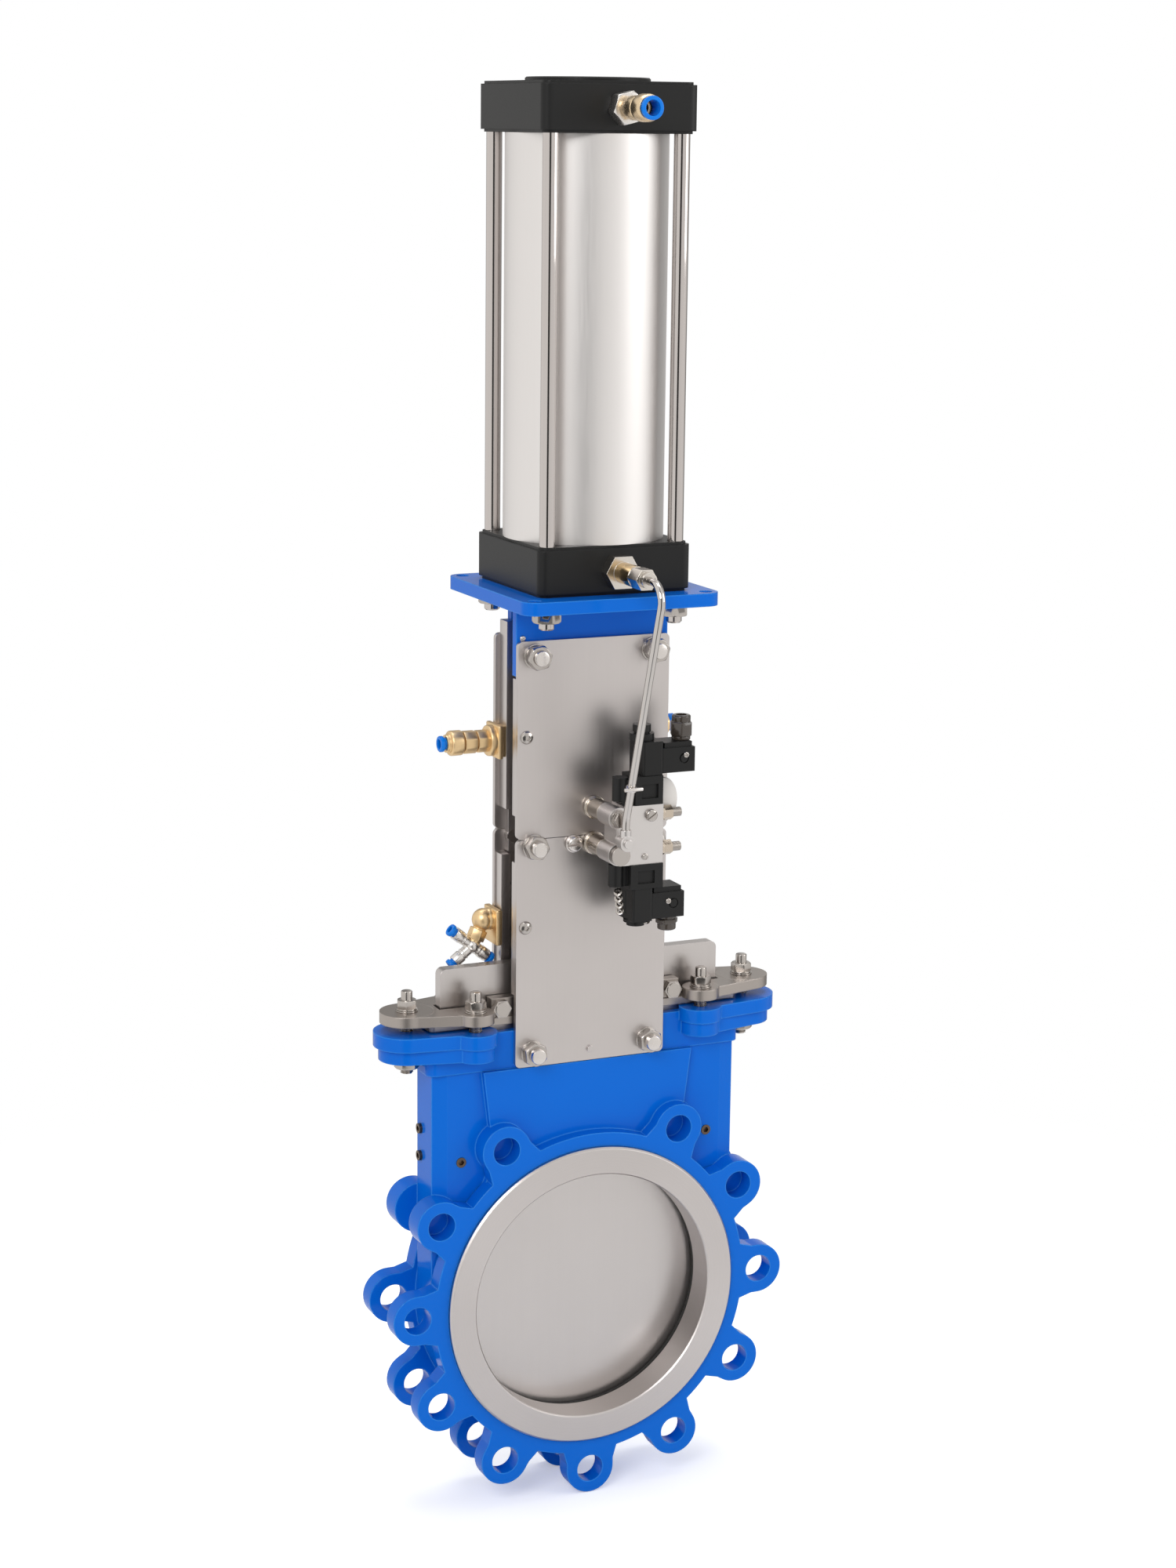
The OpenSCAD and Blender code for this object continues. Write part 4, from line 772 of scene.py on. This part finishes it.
def makeGlandFasteners():
    g = gland
    stack = [makeWasher("glandWasher", *washer) for washer in g["washers"]]
    stack += [addRound("washerNeck", *g["neck"]), makeNut("topNut", *g["nut"], g["stud"], g["nutFrom"])]
    ends = [(side * g["endX"], g["middleY"]) for side in (-1, 1)]
    sides = [(x * g["sideX"], g["middleY"] + y * g["sideY"]) for x in (-1, 1) for y in (-1, 1)]
    seats = [facing(up, (*spot, g["seat"]), turn) for spot, turn in zip(ends + sides, g["turns"])]
    feet = [facing(down, (*spot, g["foot"]), turn) for spot, turn in zip(ends, g["lockTurns"])]
    nuts = copyTo(joinPieces("glandNutTop", stack), seats)
    nuts += copyTo(makeNut("lockNut", *g["lockNut"], g["thread"]), feet)
    rods = copyTo(addTip("topTip", g["stud"] / 2, g["studTop"] - g["seat"]), seats)
    for foot, spots in ((g["endStudFoot"], ends), (g["sideStudFoot"], sides)):
        rod = makeThread("glandRod", g["thread"] / 2, g["threadTop"] - foot, g["pitch"])
        rods += copyTo(rod, [facing(up, (*spot, foot), spot[0]) for spot in spots])
    finishPiece("glandNuts", nuts, "fastener", "frame", "stainless_steel", "gland_nuts")
    finishPiece("glandStuds", rods, "fastener", "frame", "stainless_steel", "gland_studs")
    print("stage: gland fasteners,", len(seats) + len(feet), "nuts")


# Nuts on the yoke plates, lifted on a ring in the top row, and a slotted screw beside each seam

yoke = {"boltX": 49, "heights": (202, 365.5, 512.5), "frontY": 14, "rearY": 62, "nut": (17, 8),
        "washer": (9.6, 1.3), "ring": (8.6, 2.4), "ringRow": 2, "stud": 12, "out": 14.6, "in": 9.5,
        "chamfer": 1.1, "seamX": -16.5, "seamRow": 1, "seamTurn": 4, "seamScrew": (6.2, 6.6, 1.9),
        "seamCollar": (6.9, 3.2), "rowTurn": 17, "sideTurn": 29, "firstTurn": 5}


def makeYokeFasteners():
    y = yoke
    thick, lift = y["washer"][1], y["ring"][1]
    seats, lifted, rings, seams = [], [], [], []
    for depth, outward in ((y["frontY"], -1), (y["rearY"], 1)):
        away = (0, outward, 0)
        seams.append(facing(away, (y["seamX"], depth, y["heights"][y["seamRow"]]), y["seamTurn"]))
        for row, height in enumerate(y["heights"]):
            for side in (-1, 1):
                turn = y["rowTurn"] * row + y["sideTurn"] * side + y["firstTurn"]
                seats.append(facing(away, (side * y["boltX"], depth, height), turn))
                rise = 0
                if row == y["ringRow"]:
                    rings.append(seats[-1])
                    rise = outward * lift
                lifted.append(facing(away, (side * y["boltX"], depth + rise, height), turn))
    nuts = copyTo(makeWasher("plateWasher", *y["washer"]), seats)
    nuts += copyTo(makeNut("plateNut", *y["nut"], y["stud"], thick), lifted)
    nuts += copyTo(makeWasher("plateRing", *y["ring"], thick), rings)
    studs = copyTo(addTip("plateTip", y["stud"] / 2, y["out"] + y["in"], -y["in"], y["chamfer"]), seats)
    seam = [makeDomedScrew("seamScrew", *y["seamScrew"]), makeWasher("seamCollar", *y["seamCollar"])]
    studs += copyTo(joinPieces("seamTop", seam), seams)
    finishPiece("yokeNuts", nuts, "fastener", "frame", "stainless_steel", "yoke_nuts")
    finishPiece("yokeStuds", studs, "tip", "frame", "stainless_steel", "yoke_studs")
    print("stage: yoke fasteners,", len(lifted), "nuts and", len(seams), "seam screws")


tie = {"reach": 52.5, "middleY": 38, "seat": 552, "nut": (19, 8), "rod": 12, "washer": (11, 1.6), "gap": 0.1,
       "turns": (11, 19)}


def makeTieNuts():
    t = tie
    turnX, turnY = t["turns"]
    nut = makeNut("tieNut", *t["nut"], t["rod"], t["washer"][1])
    top = joinPieces("tieNutTop", [makeWasher("tieWasher", *t["washer"]), nut])
    bore(top, t["rod"] / 2 + t["gap"], -5)
    seats = [facing(down, (x * t["reach"], t["middleY"] + y * t["reach"], t["seat"]), turnX * x + turnY * y)
             for x in (-1, 1) for y in (-1, 1)]
    finishPiece("tieRodNuts", copyTo(top, seats), "fastener", "frame", "stainless_steel", "tie_rod_nuts")
    print("stage: tie rod nuts,", len(seats))


# Small bright pieces on the solenoid valve

trim = {
    # Radius, height, slot and whether it is crossed, then its turn and its places
    "screws": (((4.9, 3.4, 1.1, False), 35, ((26.5, -34, 394),)),
               ((2.6, 1.6, 0.6, True), 20, ((22, -34, 362),)),
               ((2.3, 1.5, 0.6, True), 12, ((56, -32.3, 438), (43, -32.3, 325)))),
    "coilNut": (10, 5, 5), "coilSpot": (27, -21, 311.5), "coilTurn": 20,
    "chainTop": (3.2, -27, 334), "chainFoot": (5.0, -27, 319),
    "links": 7, "link": (3.3, 1.3), "linkHole": 1.6, "linkLean": (0.45, -0.5, 0.55),
}


def makeValveTrim():
    t = trim
    placed = []
    for shape, turn, spots in t["screws"]:
        placed += copyTo(makeDomedScrew("trimScrew", *shape), [facing(front, spot, turn) for spot in spots])
    placed += copyTo(makeNut("coilNut", *t["coilNut"]), [facing(down, t["coilSpot"], t["coilTurn"])])
    top, foot = Vector(t["chainTop"]), Vector(t["chainFoot"])
    leanX, leanY, leanZ = t["linkLean"]
    links = [facing((leanX if k % 2 else -leanX, leanY, leanZ), top.lerp(foot, k / (t["links"] - 1)))
             for k in range(t["links"])]
    placed += copyTo(bore(makeWasher("chainLink", *t["link"]), t["linkHole"], -2), links)
    finishPiece("valveTrimScrews", placed, "fastener", "frame", "stainless_steel")
    print("stage: solenoid valve trim")


# Push-in fitting in the upper cap: nickel hexagon, brass barrel with a flared ring

port = {
    "seat": (0, -24, 916), "turn": 14, "hexagon": (22, 12, 13), "length": 46,
    "socket": 7.2, "socketDeep": 12, "passage": 4.1, "passageDeep": 34, "soft": 0.35,
    # Each section of the barrel is a radius and a height
    "sections": ((6.5, 2.0), (6.5, 9.0), (7.6, 0.01), (7.6, 5), (8.8, 1.5), (8.8, 12), (7.8, 0.8),
                 (7.8, 1.6), (9.9, 1.2), (9.9, 9.5), (8.7, 3.39)),
}


def makePortBarrel():
    # A barrel grown section by section from its seat
    p = port
    radius, top = p["sections"][0]
    barrel = addRound("portBarrel", radius, top, 0, 64)
    for wide, high in p["sections"][1:]:
        level = top * mm
        pick(barrel, "FACE", lambda centre, normal: normal.z > 0.9 and abs(centre.z - level) < 0.02 * mm)
        bpy.ops.mesh.extrude_region_move(TRANSFORM_OT_translate={"value": (0, 0, high * mm)})
        bpy.ops.transform.resize(value=(wide / radius, wide / radius, 1))
        leaveEdit()
        top += high
        radius = wide
    bore(barrel, p["passage"], p["length"] - p["passageDeep"])
    bore(barrel, p["socket"], p["length"] - p["socketDeep"])
    return softenEdges(barrel, p["soft"], 2, 28)


def makeUpperPort():
    seat = [facing(front, port["seat"], port["turn"])]
    finishPiece("upperPortBarrel", copyTo(makePortBarrel(), seat), "portBrass", "frame", "brass",
                "upper_port_fitting")
    finishPiece("upperPortHex", copyTo(makeNut("portHex", *port["hexagon"]), seat), "nickel", "frame",
                "nickel_plate", "upper_port_fitting")
    print("stage: upper port fitting")


# Brass ports on the left and right edges

side = {
    "x": 63, "y": 54, "upper": 442, "right": 445, "low": 296,
    # A round is a radius, height, start and softening, with the softening's segments and the sides
    "boss": (12, 7, 2, 1.4, 3), "ring": (9.7, 10.4, 29.6, 1.5, 3), "lip": (7.6, 1.5, 39.6, 0.4, 2, 48),
    "end": (6.9, 13, 30, 0.4, 2, 48), "waist": (6.6, 24, 8),
    # An octagon is its width, height and start
    "body": (16.5, 9.4, 8.6), "bodySoft": 0.7, "union": (17, 10.2, 18.8), "unionSoft": 0.8,
    "rightBody": (16.5, 9, 8.5),
    # A hole is a radius and where it starts
    "socket": (4.6, 31), "passage": (3.1, 14), "rightBore": (3.6, 6),
    "plate": (4, 26, 26), "plateSoft": 1.2, "foot": (4.5, 12, 24), "footIn": 1.75, "footY": 51,
    "footSoft": 0.4,
}


def makeSidePorts():
    d = side
    parts = [softRound("portBoss", *d["boss"]), softPrism("portBody", *d["body"], 8, d["bodySoft"]),
             addRound("portWaist", *d["waist"]), softPrism("portUnion", *d["union"], 8, d["unionSoft"])]
    parts += [softRound("portRound", *d[label]) for label in ("ring", "lip", "end")]
    long = bore(bore(joinPieces("portLeft", parts), *d["socket"]), *d["passage"])
    out = d["x"] + d["plate"][0] / 2
    placed = copyTo(long, [facing(left, (-d["x"], d["y"], d["upper"]))])
    placed.append(addBlock("portPlate", d["plate"], (-out, d["y"], d["upper"]), d["plateSoft"]))
    body = softPrism("rightBody", *d["rightBody"], 8, d["bodySoft"])
    short = bore(joinPieces("portRight", [softRound("rightBoss", *d["boss"]), body]), *d["rightBore"])
    placed += copyTo(short, [facing(right, (d["x"], d["y"], d["right"]))])
    placed.append(addBlock("rightPlate", d["plate"], (out, d["y"], d["right"]), d["plateSoft"]))
    spot = (d["footIn"] - d["x"], d["footY"], d["upper"])
    placed.append(addBlock("portFoot", d["foot"], spot, d["footSoft"]))
    finishPiece("sidePorts", placed, "brass", "frame", "brass", "side_ports_upper")
    print("stage: side ports")


# Lower port: brass elbow with a hexagon, and a nickel branch with three sockets

low = {
    "corner": (-74, 54, 301), "cornerRound": 8.8, "cornerSides": 48, "dome": (8.8, 9, 2, 4, 5), "domeUp": 5,
    "plate": (5, 26, 28), "plateSoft": 1.2, "stem": 5.2, "stemPast": 2, "hexagon": (12.5, 8.6, 8.2),
    "hexSoft": 0.6, "branch": (-83, 54, 281), "ball": 6.2, "ballSides": 32,
    "turns": (38, 218, -38), "lengths": (19, 15, 19), "pipe": 4.3, "pipeShort": 5,
    # Radius, height, start before the socket's end and softening
    "cuff": (5.0, 7.5, 7.5, 0.5), "ring": (4.7, 1.2, 10, 0.3), "socket": 3.7, "socketDeep": 11, "sides": 40,
}


def branchAway(turn):
    return -math.cos(math.radians(turn)), 0, math.sin(math.radians(turn))


def makeLowPort():
    d = low
    corner, centre = Vector(d["corner"]), Vector(d["branch"])
    reach = centre - corner
    seat = (-side["x"], side["y"], side["low"] + d["domeUp"])
    elbow = copyTo(softRound("elbowDome", *d["dome"]), [facing(left, seat)])
    hexagon = softPrism("elbowHex", *d["hexagon"], 6, d["hexSoft"])
    stem = addRound("elbowStem", d["stem"], reach.length + d["stemPast"])
    elbow += copyTo(joinPieces("elbowArm", [stem, hexagon]), [facing(reach, corner)])
    spot = (-side["x"] - d["plate"][0] / 2, side["y"], side["low"])
    elbow.append(addBlock("elbowPlate", d["plate"], spot, d["plateSoft"]))
    elbow.append(addBall("elbowKnee", d["cornerRound"], corner, d["cornerSides"]))
    finishPiece("lowPortElbow", elbow, "brass", "frame", "brass", "side_port_lower")
    branch = [addBall("branchBall", d["ball"], centre, d["ballSides"])]
    for turn, end in zip(d["turns"], d["lengths"]):
        parts = [addRound("branchPipe", d["pipe"], end - d["pipeShort"], 0, d["sides"])]
        for radius, high, back, soft in (d["cuff"], d["ring"]):
            parts.append(softRound("branchRound", radius, high, end - back, soft, 2, d["sides"]))
        arm = bore(joinPieces("branchArm", parts), d["socket"], end - d["socketDeep"])
        branch += copyTo(arm, [facing(branchAway(turn), centre)])
    finishPiece("lowPortBranch", branch, "nickel", "frame", "nickel_plate", "side_port_lower")
    print("stage: lower side port with its branch")


# Spacers between the yoke and the valve, and the pale lug behind the block

spacer = {"x": 0, "heights": (365, 393), "from": 14, "length": 26, "round": 7.8, "collar": (9, 5, 0, 0.8, 3),
          "rim": (8.5, 2, 24, 0.5, 3), "lug": (42.5, -19, 402), "lugWide": 12, "lugHigh": 17.5, "lugThick": 3,
          "lugSoft": 0.8}


def makeSpacers():
    d = spacer
    parts = [addRound("spacerStem", d["round"], d["length"], 0, 64), softRound("spacerCollar", *d["collar"]),
             softRound("spacerRim", *d["rim"])]
    seats = [facing(front, (d["x"], d["from"], z)) for z in d["heights"]]
    placed = copyTo(joinPieces("spacer", parts), seats)
    finishPiece("valveSpacers", placed, "spacer", "frame", "nickel_plate", "valve_standoffs")
    lug = addRound("blockLug", d["lugWide"], d["lugThick"], 0, 64)
    softenEdges(settle(lug, "blockLug", (1, d["lugHigh"] / d["lugWide"], 1)), d["lugSoft"], 3)
    finishPiece("paleLug", copyTo(lug, [facing(front, d["lug"])]), "lug", "frame", "valve_silver")
    print("stage: spacers and lug")


# Blue release collets, each on its own moving body. Sizes are the radii of head, sleeve and hole.

collets = (
    ("upperCollet", "upper_collet", "upper_port_collet", (0, -70, 916), front, (8.5, 7.1, 5.6)),
    ("sideCollet", "side_collet", "side_collet_upper", (-106, 54, 442), left, (6.2, 4.5, 3.7)),
)
branchCollets = (("branch_left", "side_collet_lower_left"), ("branch_right", "side_collet_lower_right"),
                 ("branch_side", "side_collet_lower_branch"))
colletShape = {"sleeve": (10.6, -9), "head": (3.4, 1.6, 0.9, 4), "holeFrom": -12, "mouth": 0.4,
               "branch": (4.9, 3.6, 2.6)}


def makeCollet(name, body, node, spot, away, sizes):
    c = colletShape
    head, sleeve, hole = sizes
    sleeved = bore(addRound(name + "Sleeve", sleeve, *c["sleeve"], 64), hole, c["holeFrom"], 64)
    capped = bore(softRound(name + "Head", head, *c["head"]), hole, c["holeFrom"], 64)
    ring = joinPieces(name + "Ring", [sleeved, softenEdges(capped, c["mouth"], 2, 50)])
    finishPiece(name, copyTo(ring, [facing(away, spot)]), "collet", body, "blue_plastic", node)


def makeCollets():
    for values in collets:
        makeCollet(*values)
    for (body, node), turn, end in zip(branchCollets, low["turns"], low["lengths"]):
        away = branchAway(turn)
        spot = [part + end * step for part, step in zip(low["branch"], away)]
        makeCollet("collet_" + body, body, node, spot, away, colletShape["branch"])
    print("stage: collets,", len(collets) + len(branchCollets))


# Upright bars behind the left edges of the plates

rails = {
    "edge": -63, "wide": 7.5, "front": 18, "rear": 58, "soft": 0.4, "barSoft": 0.5,
    # Inset from the edge, thickness, foot, top and whether it lies at the rear
    "bars": ((0, 6, 248, 353, False), (0, 6, 389, 495, False), (1, 11, 248, 353, True),
             (3.5, 13.5, 389, 535, True)),
    "pad": (11, 4, 50), "padIn": 10.5, "padDeep": 2, "padHeights": (302, 450.5),
    "right": (7, 12, 50), "rightIn": 3.5, "rightDeep": 6, "rightHeight": 445,
}


def makeRails():
    d = rails
    bars = []
    for inset, thick, foot, top, rear in d["bars"]:
        middle = d["rear"] - thick / 2 if rear else d["front"] + thick / 2
        bars.append(addBlock("railBar", (d["wide"], thick, top - foot),
                             (d["edge"] + inset + d["wide"] / 2, middle, (foot + top) / 2), d["barSoft"]))
    for z in d["padHeights"]:
        for y in (d["front"] + d["padDeep"], d["rear"] - d["padDeep"]):
            bars.append(addBlock("railPad", d["pad"], (d["edge"] + d["padIn"], y, z), d["soft"]))
    spot = (-d["edge"] - d["rightIn"], d["rear"] - d["rightDeep"], d["rightHeight"])
    bars.append(addBlock("railRight", d["right"], spot, d["soft"]))
    finishPiece("yokeRails", bars, "plate", "frame", "stainless_steel", "yoke_rails")
    print("stage: rails")


# Smoked cable glands on the coil plugs

cable = {
    "foot": (7.2, 3, 0, 0.4), "across": 15.6, "hexFrom": 3, "hexShort": 8, "hexSoft": 0.9,
    "cap": (7.2, 5.5), "capSoft": 1.2, "hole": 4.2, "holeDeep": 4, "turn": 10,
    # Place, direction and height
    "places": (((57, -21, 448), up, 19), ((47.5, -21, 312), down, 12)),
}


def makeCableGlands():
    d = cable
    placed = []
    for spot, away, high in d["places"]:
        hexagon = softPrism("cableHex", d["across"], high - d["hexShort"], d["hexFrom"], 6, d["hexSoft"])
        cap = softRound("cableCap", *d["cap"], high - d["cap"][1], d["capSoft"], 4)
        parts = [softRound("cableFoot", *d["foot"]), hexagon, bore(cap, d["hole"], high - d["holeDeep"])]
        placed += copyTo(joinPieces("cableGland", parts), [facing(away, spot, d["turn"])])
    finishPiece("cableGlands", placed, "gland", "frame", "black_plastic", "cable_glands")
    print("stage: cable glands")


# Clip on the air tube, pale discs on the coil plugs and a small screw in the bracket's web

bits = {
    "tube": 3, "clip": (0, -54.8, 420.5), "lean": 17.85, "clipWall": 1.2, "clipHigh": 3.2, "clipSoft": 0.4,
    "bar": 1.5, "barLong": 15, "barSoft": 0.5, "barOut": 1,
    "disc": (6.2, 2.6, 0, 0.9, 3, 48), "discs": ((63.5, -21, 436.5), (56.5, -21, 324)),
    "webSpot": (-58, 18, 526), "webScrew": (2.3, 1.6, 0.6), "webTurn": 30,
}


def makeSmallBits():
    d = bits
    lean = math.radians(d["lean"])
    x, y, z = d["clip"]
    high, long = d["clipHigh"], d["barLong"]
    band = softRound("clipBand", d["tube"] + d["clipWall"], high, -high / 2, d["clipSoft"], 2, 48)
    bar = softRound("clipBar", d["bar"], long, -long / 2, d["barSoft"], 2, 24)
    clip = copyTo(band, [facing((0, -math.sin(lean), math.cos(lean)), d["clip"])])
    clip += copyTo(bar, [facing(right, (x, y - d["tube"] - d["barOut"], z))])
    clip += copyTo(makeDomedScrew("webScrew", *d["webScrew"]), [facing(front, d["webSpot"], d["webTurn"])])
    finishPiece("tubeClip", clip, "tip", "frame", "stainless_steel")
    discs = copyTo(softRound("plugDisc", *d["disc"]), [facing(right, spot) for spot in d["discs"]])
    finishPiece("plugDiscs", discs, "lug", "frame", "black_plastic")
    print("stage: clip, discs and web screw")


makeGlandFasteners()
makeYokeFasteners()
makeSmallBits()
makeSpacers()
makeRails()
makeCableGlands()
makeTieNuts()
makeValveTrim()
makeUpperPort()
makeSidePorts()
makeLowPort()
makeCollets()
